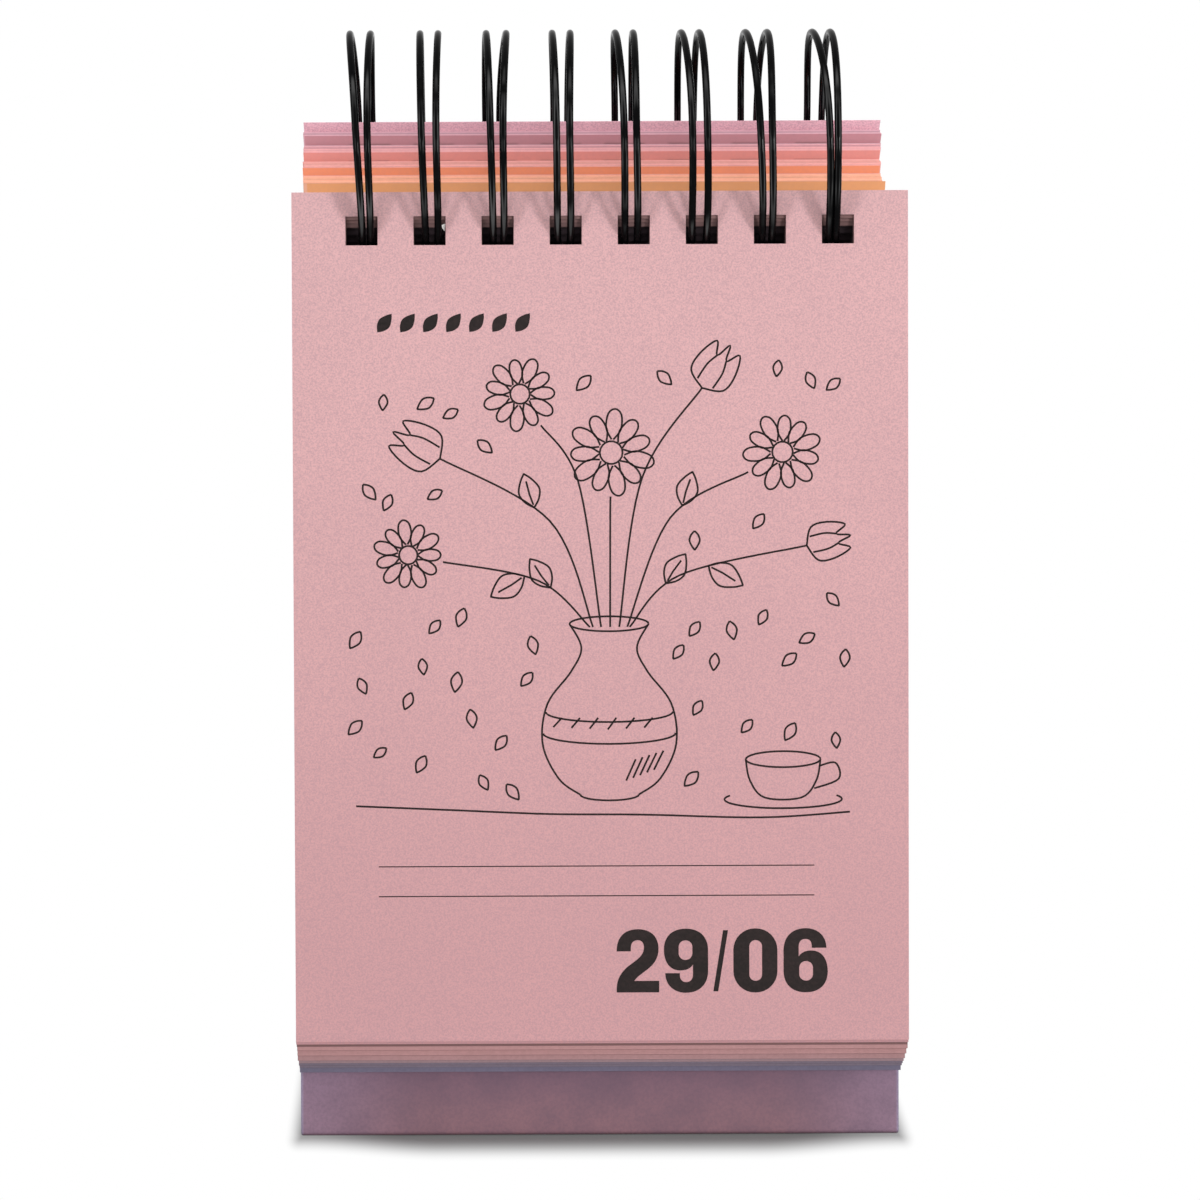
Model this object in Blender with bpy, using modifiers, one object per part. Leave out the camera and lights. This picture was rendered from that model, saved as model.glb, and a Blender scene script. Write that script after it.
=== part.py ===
"""Wire-bound daily flip calendar on a folded board stand.

Metres, +Z up, front towards -Y. The centre of the wire rings lies above the
origin; every leaf, board and wire is laid out from that centre line.
"""
import math

import bmesh
import bpy
from mathutils import Matrix

for old in list(bpy.data.objects):
    bpy.data.objects.remove(old, do_unlink=True)

# Driving dimensions
leaf_width = 0.115
leaf_length = 0.159
page_thickness = 0.00025
gap = 0.0003
lean = math.radians(13.0)

hole_count = 8
hole_pitch = 0.0127
hole_width = 0.006
hole_height = 0.0054
hole_drop = 0.0072

ring_radius = 0.0228
wire_radius = 0.00065
month_thickness = 0.00145
turned_month_thickness = 0.0015
curl_length = 0.022
curl_turn = math.radians(24.0)

# Room between the rings' far side and the page on show, and the first turned leaf
front_ring_room = 0.0082
turned_ring_room = 0.0098
front_page_offset = ring_radius - front_ring_room
turned_inner_offset = ring_radius - turned_ring_room

# How far each hole centre sits above the wire that runs through it
front_hole_rise = 0.0016
inner_hole_rise = -0.0016
turned_hole_rise = 0.0015
turned_outer_rise = 0.0002
board_hole_rise = -0.0004

stand_width = leaf_width
paper_thickness = 0.0002
board_thickness = 0.0015
turn_in = 0.012
lining_margin = 0.003
crease_gap = 0.0035
stand_drop = 0.013

front_months = ("jul", "aug", "sep", "oct", "nov", "dec")
turned_months = ("jan", "feb", "mar", "apr", "may", "jun")

# Depths of the stand's layers, measured inwards from its outer face
board_depth = paper_thickness + gap
flap_depth = board_depth + board_thickness + gap
cover_depth = flap_depth + paper_thickness
lining_depth = cover_depth + gap
stand_thickness = lining_depth + paper_thickness

front_pile = (
    2 * (page_thickness + gap)
    + len(front_months) * (month_thickness + gap)
)
front_stand_offset = front_page_offset - front_pile
back_stand_offset = turned_inner_offset - gap

front = -1
back = 1


def ringDrop(offset):
    """Height of the ring's lower crossing with a plane this far from its centre."""
    return -math.sqrt(ring_radius ** 2 - offset ** 2)


def sidePoint(side, u, t):
    """Side-view point: u outwards from the ring centre, t up along the leaning leaf."""
    y = side * (u * math.cos(lean) - t * math.sin(lean))
    z = u * math.sin(lean) + t * math.cos(lean)
    return y, z


def alongLean(u, z):
    """Distance t along a leaning plane at which it reaches the height z."""
    return (z - u * math.sin(lean)) / math.cos(lean)


dec_offset = front_stand_offset + gap
dec_bottom = ringDrop(dec_offset) + inner_hole_rise + hole_drop - leaf_length
floor_level = sidePoint(front, front_stand_offset, dec_bottom - stand_drop)[1]
ring_height = -floor_level

part_set = bpy.data.collections.new("flip_calendar")
cutter_set = bpy.data.collections.new("cutters")
bpy.context.scene.collection.children.link(part_set)
bpy.context.scene.collection.children.link(cutter_set)

# Side views are drawn in a flat plane and swung so that depth runs along X
side_to_world = Matrix(((0, 0, 1, 0), (1, 0, 0, 0), (0, 1, 0, 0), (0, 0, 0, 1)))


def makeMaterial(name, colour, roughness, metallic=0.0):
    mat = bpy.data.materials.new(name)
    mat.use_nodes = True
    shader = mat.node_tree.nodes["Principled BSDF"]
    shader.inputs["Base Color"].default_value = (*colour, 1.0)
    shader.inputs["Roughness"].default_value = roughness
    shader.inputs["Metallic"].default_value = metallic
    mat.diffuse_color = (*colour, 1.0)
    return mat


def meshFromCurve(curve, name, turn):
    temp = bpy.data.objects.new(name + "_outline", curve)
    cutter_set.objects.link(temp)
    graph = bpy.context.evaluated_depsgraph_get()
    mesh = bpy.data.meshes.new_from_object(temp.evaluated_get(graph))
    bpy.data.objects.remove(temp, do_unlink=True)
    mesh.name = name
    mesh.materials.clear()
    mesh.transform(turn)
    work = bmesh.new()
    work.from_mesh(mesh)
    bmesh.ops.remove_doubles(work, verts=work.verts, dist=1e-6)
    bmesh.ops.recalc_face_normals(work, faces=work.faces)
    work.to_mesh(mesh)
    work.free()
    return mesh


def extrudeOutline(name, outline, width):
    """A side-view outline given as (y, z) points, extruded evenly about X = 0."""
    curve = bpy.data.curves.new(name, "CURVE")
    curve.dimensions = "2D"
    curve.fill_mode = "BOTH"
    curve.extrude = width / 2
    spline = curve.splines.new("POLY")
    spline.points.add(len(outline) - 1)
    for point, (y, z) in zip(spline.points, outline):
        point.co = (y, z, 0.0, 1.0)
    spline.use_cyclic_u = True
    return meshFromCurve(curve, name, side_to_world)


def addPart(name, mesh, mat):
    obj = bpy.data.objects.new(name, mesh)
    obj.location = (0.0, 0.0, ring_height)
    mesh.materials.append(mat)
    part_set.objects.link(obj)
    return obj


def addCutter(name, mesh):
    obj = bpy.data.objects.new(name, mesh)
    obj.location = (0.0, 0.0, ring_height)
    obj.hide_render = True
    obj.display_type = "WIRE"
    cutter_set.objects.link(obj)
    return obj


def cutAway(obj, cutter):
    mod = obj.modifiers.new("cut_" + cutter.name, "BOOLEAN")
    mod.operation = "DIFFERENCE"
    mod.solver = "EXACT"
    mod.object = cutter


def holeRow(name, outline):
    """A row of square punches along X with the given side-view outline."""
    cutter = addCutter(name, extrudeOutline(name, outline, hole_width))
    cutter.location.x = -(hole_count - 1) / 2 * hole_pitch
    row = cutter.modifiers.new("row", "ARRAY")
    row.count = hole_count
    row.use_relative_offset = False
    row.use_constant_offset = True
    row.constant_offset_displace = (hole_pitch, 0.0, 0.0)
    return cutter


class Face:
    """One face of a leaf or a bundle in side view: straight, then curled near its top."""

    def __init__(self, side, offset, rise, turn):
        self.side = side
        self.offset = offset
        self.rise = rise
        self.turn = turn
        self.bend = curl_length / turn if turn > 0 else 0.0
        reach = curl_length - hole_drop - rise
        if turn > 0:
            angle = reach / self.bend
            inward = self.bend * (1 - math.cos(angle))
            self.start = ringDrop(offset - inward) - self.bend * math.sin(angle)
        else:
            self.start = ringDrop(offset) - reach

    def at(self, distance, proud=0.0):
        """Point at a distance from the bottom edge, lifted off the face by proud."""
        along = distance - (leaf_length - curl_length)
        if along <= 0 or self.turn <= 0:
            return sidePoint(self.side, self.offset + proud, self.start + along)
        angle = along / self.bend
        u = self.offset - self.bend * (1 - math.cos(angle)) + proud * math.cos(angle)
        t = self.start + self.bend * math.sin(angle) + proud * math.sin(angle)
        return sidePoint(self.side, u, t)

    def outline(self):
        stops = [0.0, leaf_length]
        if self.turn > 0:
            steps = 6
            straight = leaf_length - curl_length
            stops = [0.0] + [straight + curl_length * i / steps for i in range(steps + 1)]
        return [self.at(stop) for stop in stops]


def addLeaves(name, side, inner, outer, mat):
    """A page or a month's bundle between its inner and outer faces, punched for the rings."""
    outline = inner.outline() + outer.outline()[::-1]
    obj = addPart(name, extrudeOutline(name, outline, leaf_width), mat)
    low = leaf_length - hole_drop - hole_height / 2
    high = leaf_length - hole_drop + hole_height / 2
    corners = []
    for stop in (low, high):
        (y0, z0), (y1, z1) = inner.at(stop), outer.at(stop)
        run = math.hypot(y1 - y0, z1 - z0)
        past = 0.001 / run
        corners.append((
            (y0 - (y1 - y0) * past, z0 - (z1 - z0) * past),
            (y1 + (y1 - y0) * past, z1 + (z1 - z0) * past),
        ))
    (low_in, low_out), (high_in, high_out) = corners
    cutAway(obj, holeRow(name + "_holes", [low_in, low_out, high_out, high_in]))
    return obj


# Front pile: today's leaf, tomorrow's leaf and the months still to come
def frontFace(offset):
    share = (front_page_offset - offset) / front_pile
    rise = front_hole_rise + (inner_hole_rise - front_hole_rise) * share
    return Face(front, offset, rise, 0.0)


level = front_page_offset
front_colours = {
    "page_29_06": (0.72, 0.42, 0.46),
    "page_30_06": (0.70, 0.40, 0.45),
    "leaves_jul": (0.62, 0.33, 0.42),
    "leaves_aug": (0.50, 0.30, 0.42),
    "leaves_sep": (0.40, 0.29, 0.43),
    "leaves_oct": (0.32, 0.28, 0.42),
    "leaves_nov": (0.24, 0.26, 0.40),
    "leaves_dec": (0.17, 0.22, 0.34),
}
for name, colour in front_colours.items():
    thickness = page_thickness if name.startswith("page") else month_thickness
    mat = makeMaterial(name + "_paper", colour, 0.8)
    addLeaves(name, front, frontFace(level - thickness), frontFace(level), mat)
    level -= thickness + gap


# Turned pile: the months gone by and yesterday's leaf, curling in around the rings
turned_pile = len(turned_months) * (turned_month_thickness + gap) + page_thickness


def turnedFace(offset):
    share = (offset - turned_inner_offset) / turned_pile
    rise = turned_hole_rise + (turned_outer_rise - turned_hole_rise) * share
    return Face(back, offset, rise, curl_turn * share)


level = turned_inner_offset
turned_colours = {
    "leaves_jan": (0.68, 0.42, 0.12),
    "leaves_feb": (0.80, 0.45, 0.24),
    "leaves_mar": (0.80, 0.34, 0.16),
    "leaves_apr": (0.78, 0.36, 0.30),
    "leaves_may": (0.72, 0.32, 0.32),
    "leaves_jun": (0.62, 0.32, 0.42),
    "page_28_06": (0.64, 0.36, 0.46),
}
for name, colour in turned_colours.items():
    thickness = page_thickness if name.startswith("page") else turned_month_thickness
    mat = makeMaterial(name + "_paper", colour, 0.8)
    addLeaves(name, back, turnedFace(level), turnedFace(level + thickness), mat)
    level += thickness + gap


# Stand: three boards, the covering paper folded round their edges, the lining paper
front_top = ringDrop(front_stand_offset - stand_thickness / 2) + board_hole_rise + hole_drop
back_top = ringDrop(back_stand_offset - stand_thickness / 2) + board_hole_rise + hole_drop


def standLine(depth, trim):
    """Polyline at a depth below the stand's outer face, front top round to back top."""
    u_front = front_stand_offset - depth
    u_back = back_stand_offset - depth
    foot = floor_level + depth
    return [
        sidePoint(front, u_front, front_top - trim),
        sidePoint(front, u_front, alongLean(u_front, foot)),
        sidePoint(back, u_back, alongLean(u_back, foot)),
        sidePoint(back, u_back, back_top - trim),
    ]


def standLayer(outer_depth, inner_depth, trim):
    return standLine(outer_depth, trim) + standLine(inner_depth, trim)[::-1]


def standHole(side, offset, top):
    """Punch outline through a leaning panel of the stand."""
    centre = top - hole_drop
    u_out = offset + gap
    u_in = offset - stand_thickness - gap
    return [
        sidePoint(side, u_in, centre - hole_height / 2),
        sidePoint(side, u_out, centre - hole_height / 2),
        sidePoint(side, u_out, centre + hole_height / 2),
        sidePoint(side, u_in, centre + hole_height / 2),
    ]


front_holes = holeRow("front_panel_holes", standHole(front, front_stand_offset, front_top))
back_holes = holeRow("back_panel_holes", standHole(back, back_stand_offset, back_top))

cover = addPart(
    "cover_paper",
    extrudeOutline("cover_paper", standLayer(0.0, cover_depth, 0.0), stand_width),
    makeMaterial("purple_cover", (0.22, 0.13, 0.19), 0.7),
)
pocket = addCutter(
    "board_pocket",
    extrudeOutline(
        "board_pocket",
        standLayer(paper_thickness, flap_depth, paper_thickness),
        stand_width - 2 * paper_thickness,
    ),
)
window = addCutter(
    "lining_window",
    extrudeOutline(
        "lining_window",
        standLayer(flap_depth - gap / 2, cover_depth + gap, turn_in),
        stand_width - 2 * turn_in,
    ),
)
for cutter in (pocket, window, front_holes, back_holes):
    cutAway(cover, cutter)

lining = addPart(
    "lining_paper",
    extrudeOutline(
        "lining_paper",
        standLayer(lining_depth, stand_thickness, lining_margin),
        stand_width - 2 * lining_margin,
    ),
    makeMaterial("lining", (0.30, 0.22, 0.30), 0.75),
)
for cutter in (front_holes, back_holes):
    cutAway(lining, cutter)

grey_board = makeMaterial("grey_board", (0.42, 0.40, 0.37), 0.9)
board_width = stand_width - 2 * board_depth


def addLeaningBoard(name, side, offset, top, holes):
    u_out = offset - board_depth
    u_in = u_out - board_thickness
    low = alongLean(u_out, floor_level) + crease_gap
    outline = [
        sidePoint(side, u_out, low),
        sidePoint(side, u_out, top - board_depth),
        sidePoint(side, u_in, top - board_depth),
        sidePoint(side, u_in, low),
    ]
    obj = addPart(name, extrudeOutline(name, outline, board_width), grey_board)
    cutAway(obj, holes)


addLeaningBoard("front_board", front, front_stand_offset, front_top, front_holes)
addLeaningBoard("back_board", back, back_stand_offset, back_top, back_holes)

base_low = floor_level + board_depth
base_high = base_low + board_thickness
foot_line = standLine(0.0, 0.0)
base_front = foot_line[1][0] + crease_gap
base_back = foot_line[2][0] - crease_gap
base_outline = [
    (base_front, base_low),
    (base_back, base_low),
    (base_back, base_high),
    (base_front, base_high),
]
addPart("base_board", extrudeOutline("base_board", base_outline, board_width), grey_board)


# Wire comb: eight double loops, each out through the back, over the top and in at the front
link_angle = -88.0
tip_angle = 262.0
tip_half = 0.0009
corner_radius = 0.0015
limb_steps = 24
stop_angles = (link_angle, 0.0, 90.0, 190.0, 217.0, tip_angle)
stop_half = (0.0016, 0.0015, 0.00175, 0.0013, 0.00095, tip_half)
stop_pitch = (0.0127, 0.01272, 0.01265, 0.01255, 0.0125, 0.0125)
stop_shift = (-0.0001, -0.0002, -0.0002, -0.0002, 0.00005, 0.0001)


def eased(angle, values):
    """Smooth value round the ring between the stop angles."""
    for i in range(len(stop_angles) - 1):
        if angle <= stop_angles[i + 1]:
            share = (angle - stop_angles[i]) / (stop_angles[i + 1] - stop_angles[i])
            share = (1 - math.cos(math.pi * max(0.0, share))) / 2
            return values[i] + (values[i + 1] - values[i]) * share
    return values[-1]


def onRing(x, angle):
    a = math.radians(angle)
    return (x, ring_radius * math.cos(a), ring_radius * math.sin(a))


def loopPath(index):
    place = index - (hole_count - 1) / 2
    arc = math.degrees(1.0 / ring_radius)

    def limb(sign):
        points = []
        first = link_angle + corner_radius * arc
        for i in range(limb_steps + 1):
            angle = first + (tip_angle - first) * i / limb_steps
            middle = place * eased(angle, stop_pitch) + eased(angle, stop_shift)
            points.append(onRing(middle + sign * eased(angle, stop_half), angle))
        return points

    def link(sign):
        base_x = place * stop_pitch[0] + stop_shift[0]
        end_x = base_x + sign * (hole_pitch / 2 - gap / 2)
        points = [onRing(end_x, link_angle)]
        centre_x = base_x + sign * (stop_half[0] + corner_radius)
        for turn in (90.0, 60.0, 30.0):
            a = math.radians(turn)
            x = centre_x - sign * corner_radius * math.cos(a)
            points.append(onRing(x, link_angle + corner_radius * (1 - math.sin(a)) * arc))
        return points

    tip_x = place * stop_pitch[-1] + stop_shift[-1]
    tip = []
    for turn in (150.0, 120.0, 90.0, 60.0, 30.0):
        a = math.radians(turn)
        tip.append(onRing(tip_x + tip_half * math.cos(a), tip_angle + tip_half * math.sin(a) * arc))
    return link(-1) + limb(-1) + tip + limb(1)[::-1] + link(1)[::-1]


black_wire = makeMaterial("black_wire", (0.012, 0.012, 0.014), 0.3)
for index in range(hole_count):
    name = "wire_loop_" + str(index + 1)
    curve = bpy.data.curves.new(name, "CURVE")
    curve.dimensions = "3D"
    curve.bevel_depth = wire_radius
    curve.bevel_resolution = 1
    curve.use_fill_caps = True
    path = loopPath(index)
    spline = curve.splines.new("POLY")
    spline.points.add(len(path) - 1)
    for point, co in zip(spline.points, path):
        point.co = (*co, 1.0)
    obj = addPart(name, meshFromCurve(curve, name, Matrix.Identity(4)), black_wire)
    for face in obj.data.polygons:
        face.use_smooth = len(face.vertices) == 4
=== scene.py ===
import math
import random

import bmesh
import bpy
from mathutils import Matrix, Vector


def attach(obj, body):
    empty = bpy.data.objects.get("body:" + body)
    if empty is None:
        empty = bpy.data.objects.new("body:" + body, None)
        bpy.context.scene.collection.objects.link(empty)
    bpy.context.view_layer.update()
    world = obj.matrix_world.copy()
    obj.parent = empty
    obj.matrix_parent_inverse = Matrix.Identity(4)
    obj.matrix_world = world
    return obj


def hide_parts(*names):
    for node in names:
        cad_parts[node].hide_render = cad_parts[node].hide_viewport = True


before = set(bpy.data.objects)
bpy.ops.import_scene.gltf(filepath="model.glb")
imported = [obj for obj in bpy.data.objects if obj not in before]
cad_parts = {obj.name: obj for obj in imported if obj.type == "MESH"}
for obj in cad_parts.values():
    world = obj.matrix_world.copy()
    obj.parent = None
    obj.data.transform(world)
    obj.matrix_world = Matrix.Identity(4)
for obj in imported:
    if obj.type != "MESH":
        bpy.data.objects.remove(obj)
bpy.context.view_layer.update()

# Lengths in metres, angles in radians. The centre of the wire rings is the middle of the layout.
calendar = {
    "ringHeight": 0.18344,
    "ringRadius": 0.0228,
    "lean": math.radians(13.0),
    "leafWidth": 0.115,
    "leafLength": 0.159,
    "holeCount": 8,
    "holePitch": 0.0127,
    "holeWidth": 0.006,
    "holeHeight": 0.0054,
    "holeDrop": 0.0072,
    "curlLength": 0.022,
    # Share of a bundle's thickness that its leaves take up
    "bundleFill": 0.88,
}
millimetre = 0.001


# Middle of a hole along the row, and the height at which a plane through the rings meets their low side
def holeCentre(index):
    return (index - (calendar["holeCount"] - 1) / 2) * calendar["holePitch"]


def ringDrop(offset):
    return -math.sqrt(calendar["ringRadius"] ** 2 - offset ** 2)


# A node's output that formulas can use like a number
class Value:
    def __init__(self, socket):
        self.socket = socket
        self.tree = socket.id_data

    def __add__(self, other):
        return calc("ADD", self, other)

    def __sub__(self, other):
        return calc("SUBTRACT", self, other)

    def __rsub__(self, other):
        return calc("SUBTRACT", other, self)

    def __mul__(self, other):
        return calc("MULTIPLY", self, other)

    def __truediv__(self, other):
        return calc("DIVIDE", self, other)

    def __pow__(self, other):
        return calc("POWER", self, other)

    def __neg__(self):
        return calc("MULTIPLY", self, -1.0)

    def __abs__(self):
        return calc("ABSOLUTE", self)

    def __lt__(self, other):
        return calc("LESS_THAN", self, other)


# Node helpers
def addNode(tree, kind, **settings):
    node = tree.nodes.new(kind)
    for key, value in settings.items():
        setattr(node, key, value)
    return node


def feed(socket, value):
    if isinstance(value, Value):
        value.tree.links.new(value.socket, socket)
    else:
        socket.default_value = value


def ask(tree, kind, inputs, output=0, **settings):
    node = addNode(tree, kind, **settings)
    for label, value in inputs.items():
        feed(node.inputs[label], value)
    return Value(node.outputs[output])


def calc(operation, *values, clamp=False):
    tree = next(value.tree for value in values if isinstance(value, Value))
    return ask(tree, "ShaderNodeMath", dict(enumerate(values)), operation=operation, use_clamp=clamp)


def between(low, high, share):
    return (high - low) * share + low


def positive(value):
    return calc("MAXIMUM", value, 0.0)


def softStep(value, low, high):
    inputs = {"Value": value, "From Min": low, "From Max": high}
    return ask(value.tree, "ShaderNodeMapRange", inputs, interpolation_type="SMOOTHSTEP")


def blendColour(share, a, b):
    return ask(share.tree, "ShaderNodeMix", {"Factor": share, 6: a, 7: b}, 2, data_type="RGBA")


def objectCoords(tree):
    return ask(tree, "ShaderNodeTexCoord", {}, "Object")


def axesOf(vector):
    node = addNode(vector.tree, "ShaderNodeSeparateXYZ")
    feed(node.inputs[0], vector)
    return [Value(node.outputs[axis]) for axis in "XYZ"]


def noiseAt(coords, scale, detail=3.0, roughness=0.5, stretch=None):
    if stretch is not None:
        coords = ask(coords.tree, "ShaderNodeMapping", {"Vector": coords, "Scale": stretch})
    inputs = {"Vector": coords, "Scale": scale, "Detail": detail, "Roughness": roughness}
    return ask(coords.tree, "ShaderNodeTexNoise", inputs)


def srgb(red, green, blue):
    def linear(value):
        value /= 255.0
        return value / 12.92 if value <= 0.04045 else ((value + 0.055) / 1.055) ** 2.4
    return (linear(red), linear(green), linear(blue), 1.0)


def grey(level):
    return (level, level, level, 1.0)


# A group's inputs are given by their default values, or by the socket's kind where it has none
def startGroup(name, treeType, inputs, outputs):
    kinds = {float: "Float", int: "Int", tuple: "Color"}
    tree = bpy.data.node_groups.new(name, treeType)
    for label, value in inputs.items():
        kind = kinds.get(type(value), value)
        socket = tree.interface.new_socket(label, in_out="INPUT", socket_type="NodeSocket" + kind)
        if kind != value:
            socket.default_value = value
    for label, kind in outputs.items():
        tree.interface.new_socket(label, in_out="OUTPUT", socket_type="NodeSocket" + kind)
    given = {socket.name: Value(socket) for socket in addNode(tree, "NodeGroupInput").outputs}
    return tree, given, addNode(tree, "NodeGroupOutput").inputs


def useGroup(tree, group, values):
    node = addNode(tree, "ShaderNodeGroup", node_tree=group)
    for label, value in values.items():
        feed(node.inputs[label], value)
    return {socket.name: Value(socket) for socket in node.outputs}


def paintGeometry(geometry, material):
    return ask(geometry.tree, "GeometryNodeSetMaterial", {"Geometry": geometry, "Material": material})


# Shader groups: paper surface, leaf run, painted shade round the holes
paperGrain = {
    "fibreScale": 700.0,
    "fibreStretch": (0.25, 1.0, 1.6),
    "fibreRoughness": 0.16,
    "fibreHeight": 0.6,
    "fineHeight": 0.4,
    "fineStep": (0.36, 0.66),
    "cloudStep": (0.3, 0.7),
    "gloss": 0.25,
    "leafShadow": 0.45,
    "leafToneStep": (0.4, 0.85),
}
# Colours and masks of the painted shade inside the punched holes
holePaintedShade = {
    "paintedRimLightAndShade": srgb(140, 108, 106),
    "deepShade": (0.02, 0.012, 0.015, 1.0),
    "besideHole": (0.04, 0.12),
    "aboveHole": (0.0042, 0.0056),
    "rimDepth": (0.025, 0.045),
    "deepDepth": (0.08, 0.18),
}


def buildPaperSurface():
    tree, given, result = startGroup("paperSurface", "ShaderNodeTree", {
        "Colour": (0.7, 0.4, 0.45, 1.0), "Mottle": 0.1, "Mottle Scale": 900.0, "Cloud": 0.05,
        "Cloud Scale": 60.0, "Tint": (0.4, 0.36, 0.42, 1.0), "Roughness": 0.85,
    }, {"Colour": "Color", "Roughness": "Float", "Height": "Float"})
    coords = objectCoords(tree)
    fine = noiseAt(coords, given["Mottle Scale"], 4.0, 0.65)
    cloud = noiseAt(coords, given["Cloud Scale"], 3.0, 0.55)
    fibre = noiseAt(coords, paperGrain["fibreScale"], 2.0, 0.5, paperGrain["fibreStretch"])
    fineShare = softStep(fine, *paperGrain["fineStep"]) * given["Mottle"]
    cloudShare = softStep(cloud, *paperGrain["cloudStep"]) * given["Cloud"]
    shade = blendColour(fineShare, given["Colour"], given["Tint"])
    feed(result["Colour"], blendColour(cloudShare, shade, given["Tint"]))
    feed(result["Roughness"], (fibre - 0.5) * paperGrain["fibreRoughness"] + given["Roughness"])
    feed(result["Height"], fibre * paperGrain["fibreHeight"] + fine * paperGrain["fineHeight"])
    return tree


def leafValue(tree, label):
    return ask(tree, "ShaderNodeAttribute", {}, "Fac", attribute_name=label)


def buildLeafRun():
    tree, given, result = startGroup("leafRun", "ShaderNodeTree", {
        "Face": (0.6, 0.35, 0.4, 1.0), "Inner": (0.7, 0.4, 0.45, 1.0), "Middle": (0.7, 0.4, 0.45, 1.0),
        "Outer": (0.7, 0.4, 0.45, 1.0), "Middle At": 0.5, "Shadow": (0.4, 0.25, 0.3, 1.0),
        "Shadow Share": 0.35,
    }, {"Colour": "Color"})
    place = leafValue(tree, "leafPlace")
    first = leafValue(tree, "leafFirst")
    rising = calc("DIVIDE", place, given["Middle At"], clamp=True)
    falling = calc("DIVIDE", place - given["Middle At"], 1.0 - given["Middle At"], clamp=True)
    run = blendColour(rising, given["Inner"], given["Middle"])
    run = blendColour(falling, run, given["Outer"])
    run = blendColour(first, run, given["Face"])
    # Painted shade: by their tone, all leaves but bare ones are darkened towards the Shadow colour, for the
    # dark lines between the leaves of a pile
    tone = softStep(leafValue(tree, "leafTone"), *paperGrain["leafToneStep"])
    dark = tone * given["Shadow Share"] * (1.0 - first)
    feed(result["Colour"], blendColour(dark, run, given["Shadow"]))
    return tree


def buildHoleShade():
    tree, given, result = startGroup("holeShade", "ShaderNodeTree", {
        "Colour": (0.7, 0.4, 0.45, 1.0), "Shaded Rim": holePaintedShade["paintedRimLightAndShade"], "Deep Shade": holePaintedShade["deepShade"],
    }, {"Colour": "Color"})
    # Painted shade: round each hole, leaves lying behind the showing face turn a brownish rim colour and,
    # deeper in, near black, standing in for the shade inside the punched tunnel
    depth = leafValue(tree, "holeDepth")
    across = leafValue(tree, "leafAcross")
    # Distance from the nearest hole's middle, in pitches, and from the row's middle line
    wholePitches = 10.0
    column = abs(calc("FRACT", across / calendar["holePitch"] + wholePitches) - 0.5)
    line = abs(leafValue(tree, "leafAlong") - (calendar["leafLength"] - calendar["holeDrop"]))
    half = calendar["holeWidth"] / calendar["holePitch"] / 2
    beside = softStep(column, *(half + room for room in holePaintedShade["besideHole"]))
    inRow = abs(across) < calendar["holeCount"] / 2 * calendar["holePitch"]
    paintedShadeNear = (1.0 - beside) * inRow * (1.0 - softStep(line, *holePaintedShade["aboveHole"]))
    shade = blendColour(paintedShadeNear * softStep(depth, *holePaintedShade["rimDepth"]), given["Colour"], given["Shaded Rim"])
    dark = paintedShadeNear * softStep(depth, *holePaintedShade["deepDepth"])
    feed(result["Colour"], blendColour(dark, shade, given["Deep Shade"]))
    return tree


paperSurface = buildPaperSurface()
leafRun = buildLeafRun()
holeShade = buildHoleShade()
print("stage: shader groups ready")


def newMaterial(name):
    material = bpy.data.materials.new(name)
    material.use_nodes = True
    return material, material.node_tree, material.node_tree.nodes["Principled BSDF"].inputs


def bumpFrom(height, strength, distance):
    inputs = {"Strength": strength, "Distance": distance, "Height": height}
    return ask(height.tree, "ShaderNodeBump", inputs)


def finishPaper(shader, surface, bump, punched=False):
    colour = surface["Colour"]
    if punched:
        colour = useGroup(colour.tree, holeShade, {"Colour": colour})["Colour"]
    feed(shader["Base Color"], colour)
    feed(shader["Roughness"], surface["Roughness"])
    feed(shader["Normal"], bumpFrom(surface["Height"], *bump))
    feed(shader["Specular IOR Level"], paperGrain["gloss"])


def flatPaper(name, bump, values):
    material, tree, shader = newMaterial(name)
    finishPaper(shader, useGroup(tree, paperSurface, values), bump)
    return material


# Colours of a month: its bare leaf, then its inner, middle and outer leaves and where the middle lies
def leafPaper(name, colours, share):
    face, inner, middle, outer = (srgb(*rgb) for rgb in colours[:4])
    # The shadow colour is the middle colour darkened, for the painted shade between leaves
    shadow = tuple(value * paperGrain["leafShadow"] for value in middle[:3]) + (1.0,)
    material, tree, shader = newMaterial(name)
    run = useGroup(tree, leafRun, {
        "Face": face, "Inner": inner, "Middle": middle, "Outer": outer, "Middle At": colours[4],
        "Shadow": shadow, "Shadow Share": share,
    })
    surface = useGroup(tree, paperSurface, {
        "Colour": run["Colour"], "Mottle": 0.12, "Mottle Scale": 1300.0,
        "Cloud": 0.06, "Cloud Scale": 90.0, "Tint": shadow, "Roughness": 0.86,
    })
    finishPaper(shader, surface, bump=(0.25, 0.00005), punched=True)
    return material


# Leaf stack: one punched leaf, repeated through a bundle and bent to the pile's shape
slipWaves = {
    # Scale, detail and reach of the waves through the pile's depth
    "drift": (9.0, 1.0, 3.0),
    "tone": (38.0, 1.5, 3.2),
    "acrossScatter": 0.25,
    "toneScatter": 0.15,
    "firstLeaf": 0.002,
    "smallestTurn": 0.001,
}
packCount = 8


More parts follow.
